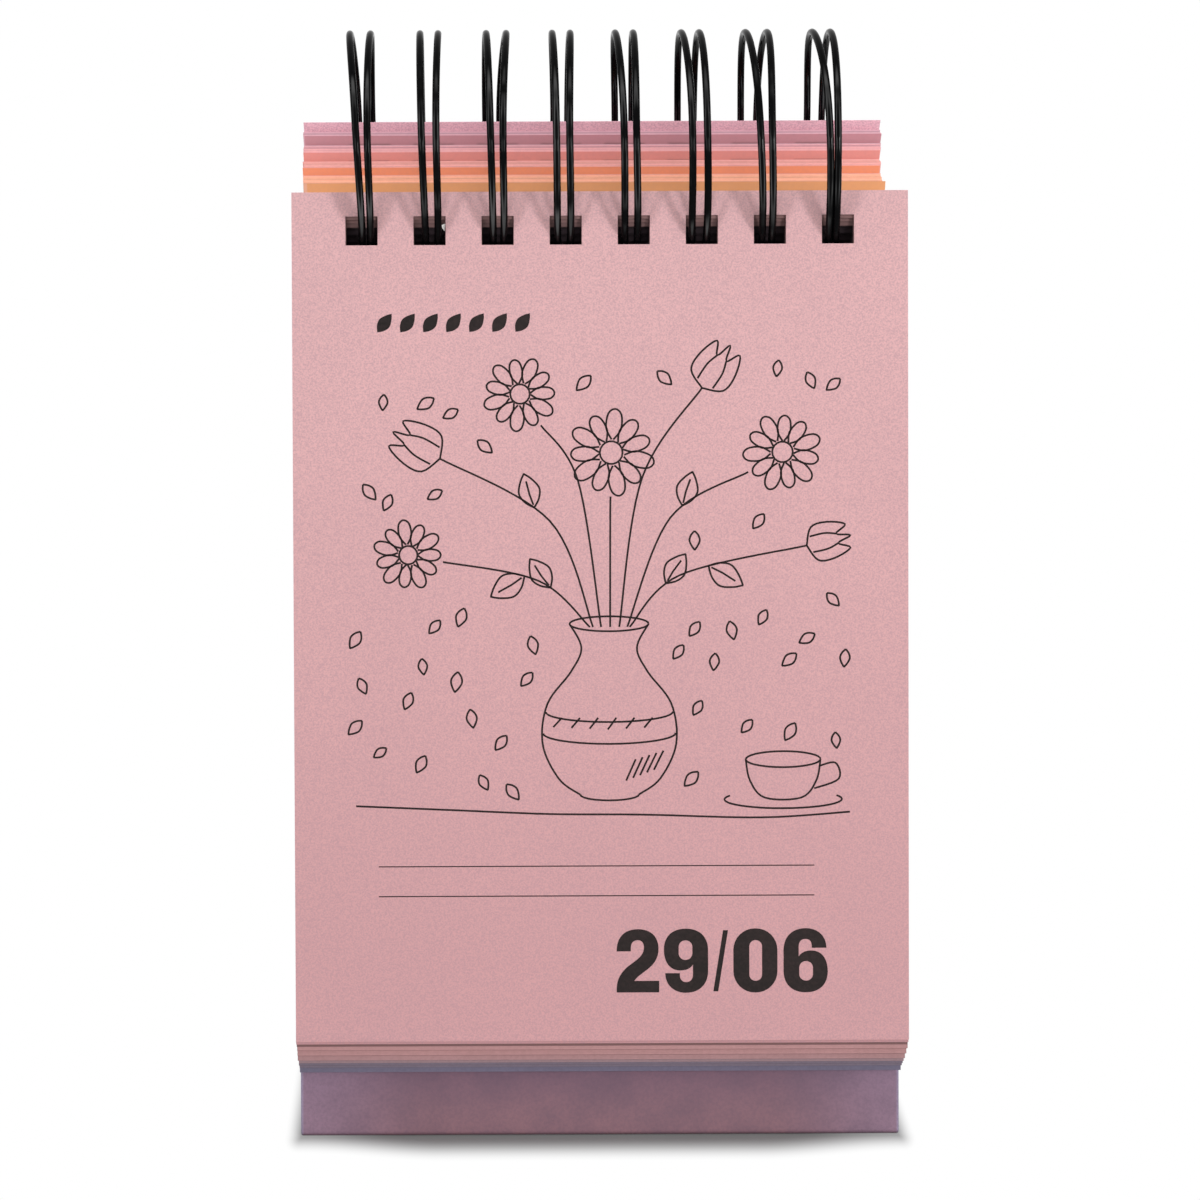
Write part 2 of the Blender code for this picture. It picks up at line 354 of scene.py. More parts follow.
def buildLeafStack():
    tree, given, result = startGroup("leafStack", "GeometryNodeTree", {
        "Leaf": "Geometry", "Count": 12, "Seed": 1, "Paper": "Material",
        "Side": 1.0, "Inner": 0.013, "Outer": 0.0145, "Leaf Thickness": 0.00005,
        "Pile Inner": 0.013, "Pile Depth": 0.011, "Pile Inner Rise": 0.0, "Pile Outer Rise": 0.0,
        "Pile Turn": 0.0, "Squeeze": 0.0, "Inner Hidden": 0.0, "Pack Share": 0.5,
        **{"Step " + str(i + 1): 2.0 for i in range(packCount)},
        "Slip Up": 0.0001, "Slip Across": 0.0002, "First Slip": 0.0, "Bundle Gap": 0.0003,
        "Lean": calendar["lean"], "Ring Radius": calendar["ringRadius"],
        "Ring Height": calendar["ringHeight"], "Leaf Length": calendar["leafLength"],
        "Curl Length": calendar["curlLength"], "Hole Drop": calendar["holeDrop"],
    }, {"Geometry": "Geometry"})

    def store(geometry, label, value):
        inputs = {"Geometry": geometry, "Name": label, "Value": value}
        return ask(tree, "GeometryNodeStoreNamedAttribute", inputs, data_type="FLOAT", domain="POINT")

    def named(label):
        return ask(tree, "GeometryNodeInputNamedAttribute", {"Name": label}, data_type="FLOAT")

    def chance(extraSeed):
        inputs = {2: -1.0, 3: 1.0, "Seed": given["Seed"] + extraSeed}
        return ask(tree, "FunctionNodeRandomValue", inputs, 1, data_type="FLOAT")

    def wave(place, scale, detail, reach):
        inputs = {"W": place, "Scale": scale, "Detail": detail}
        return (ask(tree, "ShaderNodeTexNoise", inputs, noise_dimensions="1D") - 0.5) * reach

    def packStart(place):
        start = 0.0
        for i in range(packCount):
            stop = given["Step " + str(i + 1)]
            start = calc("MAXIMUM", start, (stop < place) * stop)
        return start

    def inPile(offset):
        return (offset - given["Pile Inner"]) / given["Pile Depth"]

    spots = {"Count": given["Count"], "Offset": (0.0, 0.0, 0.0)}
    line = ask(tree, "GeometryNodeMeshLine", spots, mode="OFFSET")
    index = ask(tree, "GeometryNodeInputIndex", {})
    last = calc("MAXIMUM", given["Count"] - 1.0, 1.0)
    place = index / last
    pilePlace = inPile(between(given["Inner"], given["Outer"], place))
    tone = wave(pilePlace, *slipWaves["tone"]) + 0.5
    drift = wave(pilePlace, *slipWaves["drift"])
    across = (chance(23.0) * slipWaves["acrossScatter"] + drift) * given["Slip Across"]
    # The leaf that a step between two packs lays bare
    step = (given["Outer"] - given["Inner"]) / last
    endIndex = last * (given["Side"] < 0.0)
    step = calc("COMPARE", index, endIndex, 0.5) * given["Bundle Gap"] + step
    beside = packStart(pilePlace - step * given["Side"] / given["Pile Depth"])
    same = calc("COMPARE", packStart(pilePlace), beside, 0.001)
    bare = calc("MAXIMUM", 1.0 - same, pilePlace < slipWaves["firstLeaf"])
    stack = store(line, "leafPlace", place)
    stack = store(stack, "slipUp", chance(11.0) * given["Slip Up"])
    stack = store(stack, "leafTone", chance(3.0) * slipWaves["toneScatter"] + tone)
    stack = store(stack, "leafFirst", bare)
    stack = store(stack, "slipAcross", (index < 0.5) * given["First Slip"] + across)
    copies = ask(tree, "GeometryNodeInstanceOnPoints", {"Points": stack, "Instance": given["Leaf"]})
    real = ask(tree, "GeometryNodeRealizeInstances", {"Geometry": copies})

    # The leaf lies flat: X across, Y up from its bottom edge, Z through its thickness from 0 to 1
    flatX, flatY, flatZ = axesOf(ask(tree, "GeometryNodeInputPosition", {}))
    along = flatY - (given["Leaf Length"] - given["Curl Length"])
    curled = (positive(along) / given["Curl Length"]) ** 2.0
    proud = flatZ * given["Leaf Thickness"] * (1.0 - curled * given["Squeeze"])
    offset = between(given["Inner"], given["Outer"], named("leafPlace"))
    pilePlace = inPile(offset)
    stepPlace = between(pilePlace, packStart(pilePlace), given["Pack Share"])
    stepOffset = stepPlace * given["Pile Depth"] + given["Pile Inner"]
    rise = between(given["Pile Inner Rise"], given["Pile Outer Rise"], stepPlace)
    # Above its straight part the leaf bends round an arc, so that its hole stays on the ring
    bend = given["Curl Length"] / calc("MAXIMUM", pilePlace * given["Pile Turn"], slipWaves["smallestTurn"])
    angle = (given["Curl Length"] - given["Hole Drop"] - rise) / bend
    onPlane = stepOffset - bend * (1.0 - calc("COSINE", angle))
    drop = -calc("SQRT", given["Ring Radius"] ** 2.0 - onPlane ** 2.0)
    start = drop - bend * calc("SINE", angle) + named("slipUp")
    swing = positive(along) / bend
    cosSwing = calc("COSINE", swing)
    u = offset - bend * (1.0 - cosSwing) + proud * cosSwing
    t = start + calc("MINIMUM", along, 0.0) + (bend + proud) * calc("SINE", swing)
    cosLean = calc("COSINE", given["Lean"])
    sinLean = calc("SINE", given["Lean"])
    spot = ask(tree, "ShaderNodeCombineXYZ", {
        "X": flatX + named("slipAcross"),
        "Y": (u * cosLean - t * sinLean) * given["Side"],
        "Z": u * sinLean + t * cosLean + given["Ring Height"],
    })
    # How far a leaf lies behind a face that shows, and where on the leaf each point is: the painted shade
    # round the holes reads these
    depthIn = calc("MINIMUM", pilePlace + given["Inner Hidden"], 1.0 - pilePlace)
    marked = store(real, "holeDepth", depthIn)
    marked = store(marked, "leafAcross", flatX)
    marked = store(marked, "leafAlong", flatY)
    moved = ask(tree, "GeometryNodeSetPosition", {"Geometry": marked, "Position": spot})
    feed(result["Geometry"], paintGeometry(moved, given["Paper"]))
    return tree


def meshFrom(work, name):
    mesh = bpy.data.meshes.new(name)
    work.to_mesh(mesh)
    work.free()
    return mesh


def punchedLeaf(width, curlStops):
    hole = calendar["holeHeight"] / 2
    middle = calendar["leafLength"] - calendar["holeDrop"]
    straight = calendar["leafLength"] - calendar["curlLength"]
    across = [-width / 2]
    for i in range(calendar["holeCount"]):
        across += [holeCentre(i) - calendar["holeWidth"] / 2, holeCentre(i) + calendar["holeWidth"] / 2]
    across.append(width / 2)
    below = [0.0] + [straight + stop for stop in curlStops]
    above = [middle + hole, (middle + hole + calendar["leafLength"]) / 2, calendar["leafLength"]]
    holeLow = middle - hole
    rows = [(y, [across[0], across[-1]]) for y in below]
    rows += [(holeLow, across), (above[0], across)]
    rows += [(y, [across[0], across[-1]]) for y in above[1:]]
    work = bmesh.new()
    points = {}

    def vert(x, y, z):
        key = (round(x, 7), round(y, 7), z)
        if key not in points:
            points[key] = work.verts.new((x, y, z))
        return points[key]

    def face(ring):
        work.faces.new([vert(*co) for co in ring])

    for z in (0.0, 1.0):
        for (y0, low), (y1, high) in zip(rows, rows[1:]):
            if y0 == holeLow:
                for x0, x1 in zip(across[::2], across[1::2]):
                    face([(x0, y0, z), (x1, y0, z), (x1, y1, z), (x0, y1, z)])
            else:
                face([(x, y0, z) for x in low] + [(x, y1, z) for x in high[::-1]])
    borders = [edge for edge in work.edges if edge.is_boundary and edge.verts[0].co.z == 0.0]
    for edge in borders:
        a, b = edge.verts
        face([tuple(a.co), tuple(b.co), (b.co.x, b.co.y, 1.0), (a.co.x, a.co.y, 1.0)])
    bmesh.ops.recalc_face_normals(work, faces=work.faces)
    return meshFrom(work, "punchedLeaf")


def bakePiece(obj):
    graph = bpy.context.evaluated_depsgraph_get()
    mesh = bpy.data.meshes.new_from_object(obj.evaluated_get(graph))
    mesh.name = obj.name
    obj.modifiers.clear()
    obj.data = mesh


def addPiece(name, data):
    obj = bpy.data.objects.new(name, data)
    bpy.context.scene.collection.objects.link(obj)
    return obj


def growPiece(obj, group, values):
    modifier = obj.modifiers.new(group.name, "NODES")
    modifier.node_group = group
    sockets = {item.name: item.identifier for item in group.interface.items_tree
               if item.item_type == "SOCKET" and item.in_out == "INPUT"}
    for label, value in values.items():
        modifier[sockets[label]] = value
    bakePiece(obj)


def mendNormals(mesh):
    work = bmesh.new()
    work.from_mesh(mesh)
    bmesh.ops.recalc_face_normals(work, faces=work.faces)
    work.to_mesh(mesh)
    work.free()


leafStack = buildLeafStack()


def addStack(node, body, paper, values, width=calendar["leafWidth"], curlStops=(0.0,)):
    obj = addPiece("stack_" + node, punchedLeaf(width, curlStops))
    growPiece(obj, leafStack, {"Paper": paper, **values})
    mendNormals(obj.data)
    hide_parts(node)
    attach(obj, body)


# Front pile: today's page, tomorrow's page and the months to come, stepping down along the rings
frontPile = {
    "outer": 0.0146,
    "pageThickness": 0.00025,
    "monthThickness": 0.00145,
    "gap": 0.0003,
    "outerRise": 0.0016,
    "innerRise": -0.0016,
    "leavesPerMonth": 24,
    "leafWidth": 0.1148,
    "slipUp": 0.00003,
    "slipAcross": 0.00014,
    "steps": (0.24, 0.34, 0.43, 0.52, 0.66, 0.79, 0.88, 0.965),
    "packShare": 0.7,
    "shadowShare": 0.8,
    "seed": 10,
    "months": {
        # Each month's bare leaf is a lighter copy of its run colours: painted light on the bared steps, with
        # the darker run as painted shade between them. The months also darken towards December, partly their
        # own colour, the slate blue of the last months, and partly painted shade under the overhanging leaves
        "leaves_jul": ((184, 140, 140), (160, 122, 122), (168, 128, 128), (152, 114, 114), 0.5),
        "leaves_aug": ((178, 138, 139), (146, 113, 116), (160, 122, 124), (162, 124, 126), 0.5),
        "leaves_sep": ((160, 133, 138), (124, 102, 112), (138, 112, 118), (146, 115, 118), 0.5),
        "leaves_oct": ((126, 114, 128), (106, 94, 108), (116, 101, 113), (124, 104, 114), 0.5),
        "leaves_nov": ((116, 110, 130), (96, 88, 106), (92, 82, 98), (100, 88, 102), 0.5),
        "leaves_dec": ((122, 118, 141), (104, 98, 120), (98, 91, 112), (96, 87, 106), 0.5),
    },
}
frontDepth = (2 * (frontPile["pageThickness"] + frontPile["gap"])
              + len(frontPile["months"]) * (frontPile["monthThickness"] + frontPile["gap"]))


def pileValues(inner, thickness, count, pile):
    leaf = thickness / count * (calendar["bundleFill"] if count > 1 else 1.0)
    outer = inner + thickness - leaf
    values = {"Count": count, "Inner": inner, "Outer": outer, "Leaf Thickness": leaf, **pile}
    if count > 1:
        return values
    return {**values, "Slip Up": 0.0, "Slip Across": 0.0, "Pack Share": 0.0}


def pileShape(pile, side, inner, depth, extra):
    return {
        "Side": side, "Pile Inner": inner, "Pile Depth": depth,
        "Pile Inner Rise": pile["innerRise"], "Pile Outer Rise": pile["outerRise"],
        "Pack Share": pile["packShare"], "Slip Up": pile["slipUp"], "Slip Across": pile["slipAcross"],
        **{"Step " + str(i + 1): step for i, step in enumerate(pile["steps"])}, **extra,
    }


frontShape = pileShape(frontPile, -1.0, frontPile["outer"] - frontDepth, frontDepth, {"Inner Hidden": 1.0})


# Printed faces of single pages. The paper darkens from high to low towards the bottom, partly a printed
# gradient and partly painted shade where less light falls
def printedPaper(name, look):
    material, tree, shader = newMaterial(name)
    rise = softStep(axesOf(objectCoords(tree))[2], look["lowZ"], look["highZ"])
    surface = useGroup(tree, paperSurface, {
        "Colour": blendColour(rise, look["low"], look["high"]), "Tint": look["tint"],
        "Mottle": look["mottle"], "Mottle Scale": look["mottleScale"],
        "Cloud": look["cloud"], "Cloud Scale": look["cloudScale"], "Roughness": look["roughness"],
    })
    finishPaper(shader, surface, look["bump"], punched=True)
    return material


pagePaper = {
    "low": srgb(211, 160, 162),
    "high": srgb(227, 180, 181),
    "tint": srgb(172, 138, 146),
    "lowZ": 0.02,
    "highZ": 0.18,
    "mottle": 0.52,
    "mottleScale": 3000.0,
    "cloud": 0.08,
    "cloudScale": 35.0,
    "roughness": 0.86,
    "bump": (0.3, 0.00006),
}
level = frontPile["outer"] - frontPile["pageThickness"]
addStack("page_29_06", "front_page", printedPaper("pinkPage", pagePaper),
         pileValues(level, frontPile["pageThickness"], 1, frontShape))
level -= frontPile["pageThickness"] + frontPile["gap"]
# Tomorrow's page is darker at its foot than today's: painted shade under today's page
addStack("page_30_06", "stand_and_piles",
         printedPaper("pinkPageBehind", {**pagePaper, "low": srgb(196, 146, 148)}),
         pileValues(level, frontPile["pageThickness"], 1, frontShape))
for seed, (node, colours) in enumerate(frontPile["months"].items()):
    level -= frontPile["monthThickness"] + frontPile["gap"]
    shape = pileValues(level, frontPile["monthThickness"], frontPile["leavesPerMonth"], frontShape)
    paper = leafPaper("paper_" + node, colours, frontPile["shadowShare"])
    addStack(node, "stand_and_piles", paper,
             {**shape, "Seed": frontPile["seed"] + seed}, frontPile["leafWidth"])
print("stage: front pile of leaves")


# Print on the two front pages: line drawings, ruled lines, a row of leaves and the dates
printInk = {
    "lineWidth": 0.00036,
    "ruleWidth": 0.0002,
    "lift": 0.00002,
    "seed": 12,
    "petalCount": 44,
    "petalRoom": 4.6,
    "petalArea": ((-46.0, 46.0), (46.0, 128.0)),
    "dateLeft": 2.7,
    "dateFoot": 8.8,
    "dateUnit": 0.0356,
    "rowCount": 7,
    "rowStart": (-41.6, 132.6),
    "rowStep": 4.3,
    "rowTurn": math.radians(52.0),
    "rowLength": 4.4,
}


def smoothLine(points, steps=8):
    curve = []
    for i in range(len(points) - 1):
        a, b, c, d = (points[min(max(i + k, 0), len(points) - 1)] for k in (-1, 0, 1, 2))
        for step in range(steps):
            t = step / steps
            curve.append(tuple(0.5 * (2 * q + (r - p) * t + (2 * p - 5 * q + 4 * r - s) * t ** 2
                                      + (3 * q - p - 3 * r + s) * t ** 3) for p, q, r, s in zip(a, b, c, d)))
    return curve + [points[-1]]


def turned(points, spot, angle, size=1.0):
    c, s = math.cos(angle) * size, math.sin(angle) * size
    return [(spot[0] + x * c - y * s, spot[1] + x * s + y * c) for x, y in points]


def ellipse(x, y, wide, high, start=0.0, end=360.0, steps=36):
    angles = [math.radians(start + (end - start) * i / steps) for i in range(steps + 1)]
    return [(x + wide * math.cos(a), y + high * math.sin(a)) for a in angles]


def drawLeaf(spot, angle, length, width=0.3, vein=True):
    side = [(0, 0), (0.22, width * 0.7), (0.5, width), (0.8, width * 0.55), (1.0, 0)]
    outline = smoothLine(side, 5) + smoothLine([(x, -y) for x, y in side[::-1]], 5)
    lines = [turned(outline, spot, angle, length)]
    if vein:
        lines.append(turned([(0.08, 0), (0.4, 0.02), (0.78, 0)], spot, angle, length))
    return lines


def drawDaisy(spot, size, turn):
    lines = [ellipse(spot[0], spot[1], size * 0.26, size * 0.26, steps=18)]
    petal = smoothLine([(0.3, 0.02), (0.55, 0.17), (0.88, 0.15), (1.0, 0.0),
                        (0.88, -0.15), (0.55, -0.17), (0.3, -0.02)], 4)
    for i in range(11):
        angle = turn + math.tau * i / 11
        lines.append(turned(petal, spot, angle, size * (1.0 if i % 2 else 0.92)))
    return lines


def drawTulip(spot, size, angle):
    cup = smoothLine([(0.0, 0.0), (0.2, 0.42), (0.62, 0.46), (1.05, 0.3), (0.78, 0.12), (1.12, 0.0),
                      (0.78, -0.12), (1.05, -0.3), (0.62, -0.46), (0.2, -0.42), (0.0, 0.0)], 5)
    folds = [smoothLine([(0.12, 0.2), (0.5, 0.2), (0.78, 0.12)], 5),
             smoothLine([(0.12, -0.2), (0.5, -0.2), (0.78, -0.12)], 5)]
    return [turned(line, spot, angle, size) for line in [cup] + folds]


def drawBouquet():
    vaseX, vaseTop = 1.5, 78.0
    cupX, cupTop = 34.0, 52.5
    side = smoothLine([(-5.5, 46.0), (-9.5, 49.0), (-12.5, 55.5), (-11.6, 63.0), (-7.2, 69.0),
                       (-5.2, 73.5), (-7.4, vaseTop)], 8)
    lines = [[(vaseX + sign * x, y) for x, y in side] for sign in (1, -1)]
    lines.append(ellipse(vaseX, 46.0, 5.5, 1.1, 180, 360, 12))
    lines.append(ellipse(vaseX, vaseTop, 7.4, 1.4))
    lines.append(ellipse(vaseX, 61.5, 11.9, 1.9, 180, 360, 20))
    lines.append(ellipse(vaseX, 57.5, 12.4, 2.0, 180, 360, 20))
    for i in range(5):
        lines.append([(4.6 + i * 1.3, 48.6 + i * 0.5), (6.4 + i * 1.3, 52.6 + i * 0.4)])
    for i in range(6):
        lines.append([(-9.0 + i * 3.4, 58.2 + abs(i - 3) * 0.16), (-7.4 + i * 3.4, 60.4)])
    flowers = [
        (-36.0, 91.0, "daisy", 6.6, (0.42, 0.62)), (-30.0, 109.0, "tulip", 9.0, (0.62,)),
        (-15.0, 121.0, "daisy", 7.0, ()), (2.0, 110.0, "daisy", 8.2, ()),
        (19.0, 122.0, "tulip", 8.5, ()), (34.0, 110.0, "daisy", 7.4, (0.62,)),
        (38.5, 92.5, "tulip", 7.5, (0.44, 0.66)),
    ]
    for i, (x, y, kind, size, leaves) in enumerate(flowers):
        rootX = vaseX + x * 0.1
        bow = (rootX + (x - rootX) * 0.28, vaseTop + (y - vaseTop) * 0.62)
        angle = math.atan2(y - bow[1], x - bow[0])
        back = size * (1.0 if kind == "daisy" else 0.0)
        head = (x - math.cos(angle) * back, y - math.sin(angle) * back)
        stem = smoothLine([(rootX, 77.4), bow, head], 12)
        lines.append(stem)
        for k, share in enumerate(leaves):
            spot = stem[int(share * (len(stem) - 1))]
            lean = angle + (0.75 if (k + (x > 0)) % 2 else -0.75)
            lines += drawLeaf(spot, lean, 6.6 + 0.8 * k)
        if kind == "daisy":
            lines += drawDaisy((x, y), size, 0.3 * i)
        else:
            lines += drawTulip((x, y), size, angle)
    lines.append(ellipse(cupX, cupTop, 7.0, 1.5))
    cup = smoothLine([(-7, 0), (-6.2, -4), (-3.4, -7.2), (3.4, -7.2), (6.2, -4), (7, 0)], 6)
    handle = smoothLine([(-0.3, 1.2), (2.8, 1.8), (3.4, -1.2), (-1.2, -3.0)], 6)
    table = [(-46.0, 44.0), (-28.0, 43.2), (-10.0, 42.4), (8.0, 42.2), (30.0, 41.6), (46.5, 42.6)]
    lines += [turned(cup, (cupX, cupTop), 0.0), turned(handle, (cupX + 7.0, 50.0), 0.0)]
    lines += [ellipse(cupX, 45.0, 11.0, 1.7, 155, 385, 30), smoothLine(table, 8)]
    return lines


def drawFallingPetals(lines):
    dice = random.Random(printInk["seed"])
    taken = [point for line in lines for point in line[::3]]
    placed = 0
    while placed < printInk["petalCount"]:
        spot = tuple(dice.uniform(*side) for side in printInk["petalArea"])
        if all(math.dist(spot, other) > printInk["petalRoom"] for other in taken):
            taken.append(spot)
            placed += 1
            lines = lines + drawLeaf(spot, dice.uniform(3.6, 5.6), dice.uniform(2.9, 3.9), 0.27, False)
    return lines


def glyphPath(text):
    points = []
    for part in text.split("|"):
        kind, numbers = part[0], [float(value) for value in part[1:].split()]
        if kind in "ML":
            points.append((numbers[0], numbers[1]))
            continue
        a = points[-1]
        b, c, d = zip(numbers[::2], numbers[1::2])
        for step in range(1, 13):
            t = step / 12
            points.append(tuple(
                (1 - t) ** 3 * p + 3 * (1 - t) ** 2 * t * q + 3 * (1 - t) * t ** 2 * r + t ** 3 * s
                for p, q, r, s in zip(a, b, c, d)))
    return points


def roundBox(x0, y0, x1, y1, radius):
    points = []
    for cx, cy, start in ((x1 - radius, y1 - radius, 0), (x0 + radius, y1 - radius, 90),
                          (x0 + radius, y0 + radius, 180), (x1 - radius, y0 + radius, 270)):
        for step in range(9):
            a = math.radians(start + 90 * step / 8)
            points.append((cx + radius * math.cos(a), cy + radius * math.sin(a)))
    return points


# Bold upright numerals, drawn in a cell 233 wide and 339 high with Y downwards and a foot line at 336
sixOutline = glyphPath("M226 104|C226 40 180 0 116 0|C45 0 0 45 0 118|L0 225|C0 297 45 339 118 339|"
                       "C190 339 233 297 233 228|C233 160 200 118 148 118|C115 118 92 128 80 150|L80 100|"
                       "C80 72 92 57 116 57|C138 57 149 72 149 97|L149 104")
twoOutline = glyphPath("M0 119|C0 40 45 2 112 2|C180 2 221 40 221 105|C221 152 200 187 158 218|"
                       "C130 239 108 253 93 275|L224 275|L224 336|L0 336|L0 320|C0 275 15 240 52 205|"
                       "C90 172 144 150 144 98|C144 75 132 60 112 60|C88 60 75 76 75 103|L75 119")
threeOutline = glyphPath("M8 108|C8 40 50 0 116 0|C184 0 224 36 224 94|C224 128 208 152 180 166|"
                         "C212 180 232 207 232 243|C232 303 188 339 116 339|C46 339 4 300 4 232|L4 222|"
                         "L80 222|L80 236|C80 266 92 282 116 282|C142 282 154 266 154 240|"
                         "C154 212 140 198 110 198|L84 198|L84 140|L110 140|C136 140 148 126 148 100|"
                         "C148 72 138 57 116 57|C94 57 84 72 84 98|L84 108")
eightOutline = glyphPath("M116 0|C180 0 222 36 222 94|C222 128 206 152 182 165|C213 180 232 207 232 244|"
                         "C232 303 185 339 116 339|C47 339 0 303 0 244|C0 207 19 180 50 165|"
                         "C26 152 10 128 10 94|C10 36 52 0 114 0")
numerals = {
    "0": [roundBox(0, 0, 232, 339, 113), roundBox(84, 62, 151, 277, 33)],
    "2": [twoOutline],
    "3": [threeOutline],
    "6": [sixOutline, roundBox(83, 174, 155, 277, 35)],
    "8": [eightOutline, roundBox(80, 55, 152, 137, 33), roundBox(77, 190, 155, 282, 36)],
    "9": [[(233 - x, 339 - y) for x, y in ring] for ring in (sixOutline, roundBox(83, 174, 155, 277, 35))],
    "/": [[(0, 332), (26, 332), (78, 9), (52, 9)]],
}
numeralFoot = 336
numeralSteps = {"2": 249, "3": 260, "8": 260, "9": 260, "/": 106, "0": 264, "6": 264}


def dateOutlines(text):
    rings = []
    across = 0.0
    unit = printInk["dateUnit"]
    for letter in text:
        for ring in numerals[letter]:
            rings.append([(printInk["dateLeft"] + (across + x) * unit,
                           printInk["dateFoot"] + (numeralFoot - y) * unit) for x, y in ring])
        across += numeralSteps[letter]
    return rings


def leafRow():
    left, height = printInk["rowStart"]
    spots = [(left + i * printInk["rowStep"], height) for i in range(printInk["rowCount"])]
    return [drawLeaf(spot, printInk["rowTurn"], printInk["rowLength"], 0.27, False)[0][:-1] for spot in spots]


# Directions up a leaf and out of the pile: side is -1 in front and 1 behind
def leanAxes(side):
    lean = calendar["lean"]
    up = Vector((0.0, -side * math.sin(lean), math.cos(lean)))
    return up, Vector((0.0, side * math.cos(lean), math.sin(lean)))


def sheetPlane(corner, up, out):
    # From millimetres on a sheet, with the middle of its bottom edge as origin, to metres in the frame
    turn = Matrix((Vector((1.0, 0.0, 0.0)), up, out)).transposed().to_4x4()
    return Matrix.Translation(corner) @ turn @ Matrix.Diagonal((millimetre, millimetre, 1.0, 1.0))


def pagePlane(lift):
    up, out = leanAxes(-1)
    start = ringDrop(frontPile["outer"]) + frontPile["outerRise"]
    start += calendar["holeDrop"] - calendar["leafLength"]
    corner = out * (frontPile["outer"] + lift) + up * start + Vector((0.0, 0.0, calendar["ringHeight"]))
    return sheetPlane(corner, up, out)


def sweepAlong(curve, profile, material):
    inputs = {"Curve": curve, "Profile Curve": profile, "Fill Caps": True}
    swept = ask(curve.tree, "GeometryNodeCurveToMesh", inputs)
    return paintGeometry(ask(curve.tree, "GeometryNodeRealizeInstances", {"Geometry": swept}), material)


def buildInkLine():
    tree, given, result = startGroup("inkLine", "GeometryNodeTree", {
        "Path": "Geometry", "Width": 0.35, "Height": 0.00004, "Ink": "Material",
    }, {"Geometry": "Geometry"})
    curve = ask(tree, "GeometryNodeMeshToCurve", {"Mesh": given["Path"]})
    curve = ask(tree, "GeometryNodeSetCurveNormal", {"Curve": curve}, mode="Z_UP")
    size = {"Width": given["Width"], "Height": given["Height"]}
    profile = ask(tree, "GeometryNodeCurvePrimitiveQuadrilateral", size)
    feed(result["Geometry"], sweepAlong(curve, profile, given["Ink"]))
    return tree


def layOn(obj, sheet):
    mendNormals(obj.data)
    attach(obj, sheet["body"])


def addInkLines(name, lines, width, ink, sheet):
    points, edges = [], []
    for line in lines:
        first = len(points)
        points += [(x, y, 0.0) for x, y in line]
        edges += [(i, i + 1) for i in range(first, len(points) - 1)]
    mesh = bpy.data.meshes.new(name)
    mesh.from_pydata(points, edges, [])
    obj = addPiece(name, mesh)
    growPiece(obj, inkLine, {"Width": width / millimetre, "Height": printInk["lift"] * 2, "Ink": ink})
    obj.data.transform(sheet["plane"])
    layOn(obj, sheet)


def addInkShapes(name, rings, ink, sheet):
    curve = bpy.data.curves.new(name, "CURVE")
    curve.dimensions = "2D"
    curve.fill_mode = "BOTH"
    curve.extrude = printInk["lift"]
    for ring in rings:
        spline = curve.splines.new("POLY")
        spline.points.add(len(ring) - 1)
        for point, (x, y) in zip(spline.points, ring):
            point.co = (x, y, 0.0, 1.0)
        spline.use_cyclic_u = True
    source = addPiece(name, curve)
    graph = bpy.context.evaluated_depsgraph_get()
    mesh = bpy.data.meshes.new_from_object(source.evaluated_get(graph))
    bpy.data.objects.remove(source, do_unlink=True)
    work = bmesh.new()
    work.from_mesh(mesh)
    bmesh.ops.remove_doubles(work, verts=work.verts, dist=1e-6)
    work.to_mesh(mesh)
    work.free()
    mesh.transform(sheet["plane"])
    mesh.materials.clear()
    mesh.materials.append(ink)
    layOn(addPiece(name, mesh), sheet)


def drawSprig(kind):
    stem = smoothLine([(1.0, 46.0), (-2.5, 72.0), (2.0, 98.0)], 12)
    lines = [stem]
    for i, share in enumerate((0.18, 0.36, 0.54, 0.72)):
        spot = stem[int(share * (len(stem) - 1))]
        lines += drawLeaf(spot, math.radians(30.0 if i % 2 else 150.0), 15.0 - 1.5 * i)
    if kind == "daisy":
        return lines + drawDaisy((2.4, 107.5), 9.5, 0.2)
    return lines + drawTulip((2.0, 98.0), 17.0, math.radians(80.0))


def addSprigPage(name, kind, date, sheet):
    addInkLines(name + "Drawing", drawSprig(kind), printInk["lineWidth"], blackInk, sheet)
    addInkLines(name + "Rules", ruledLines, printInk["ruleWidth"], blackInk, sheet)
    addInkShapes(name + "Date", dateOutlines(date), blackInk, sheet)


inkLine = buildInkLine()
blackInk = flatPaper("pageInk", bump=(0.2, 0.00004), values={
    "Colour": srgb(24, 19, 18), "Mottle": 0.06, "Mottle Scale": 1500.0, "Cloud": 0.05,
    "Cloud Scale": 60.0, "Tint": srgb(110, 84, 84), "Roughness": 0.75,
})
ruledLines = [[(-41.8, 32.6), (39.8, 32.6)], [(-41.8, 27.0), (39.8, 27.0)]]
today = {"plane": pagePlane(0.0), "body": "front_page", "slot": "paper_today"}
behind = frontPile["pageThickness"] + frontPile["gap"]
tomorrow = {"plane": pagePlane(-behind), "body": "stand_and_piles", "slot": "paper_tomorrow"}
addInkLines("drawingLines", drawFallingPetals(drawBouquet()), printInk["lineWidth"], blackInk, today)
addInkLines("ruledLines", ruledLines, printInk["ruleWidth"], blackInk, today)
addInkShapes("dateNumerals", dateOutlines("29/06"), blackInk, today)
addInkShapes("leafRow", leafRow(), blackInk, today)
addSprigPage("tomorrow", "daisy", "30/06", tomorrow)
print("stage: print on the pages")


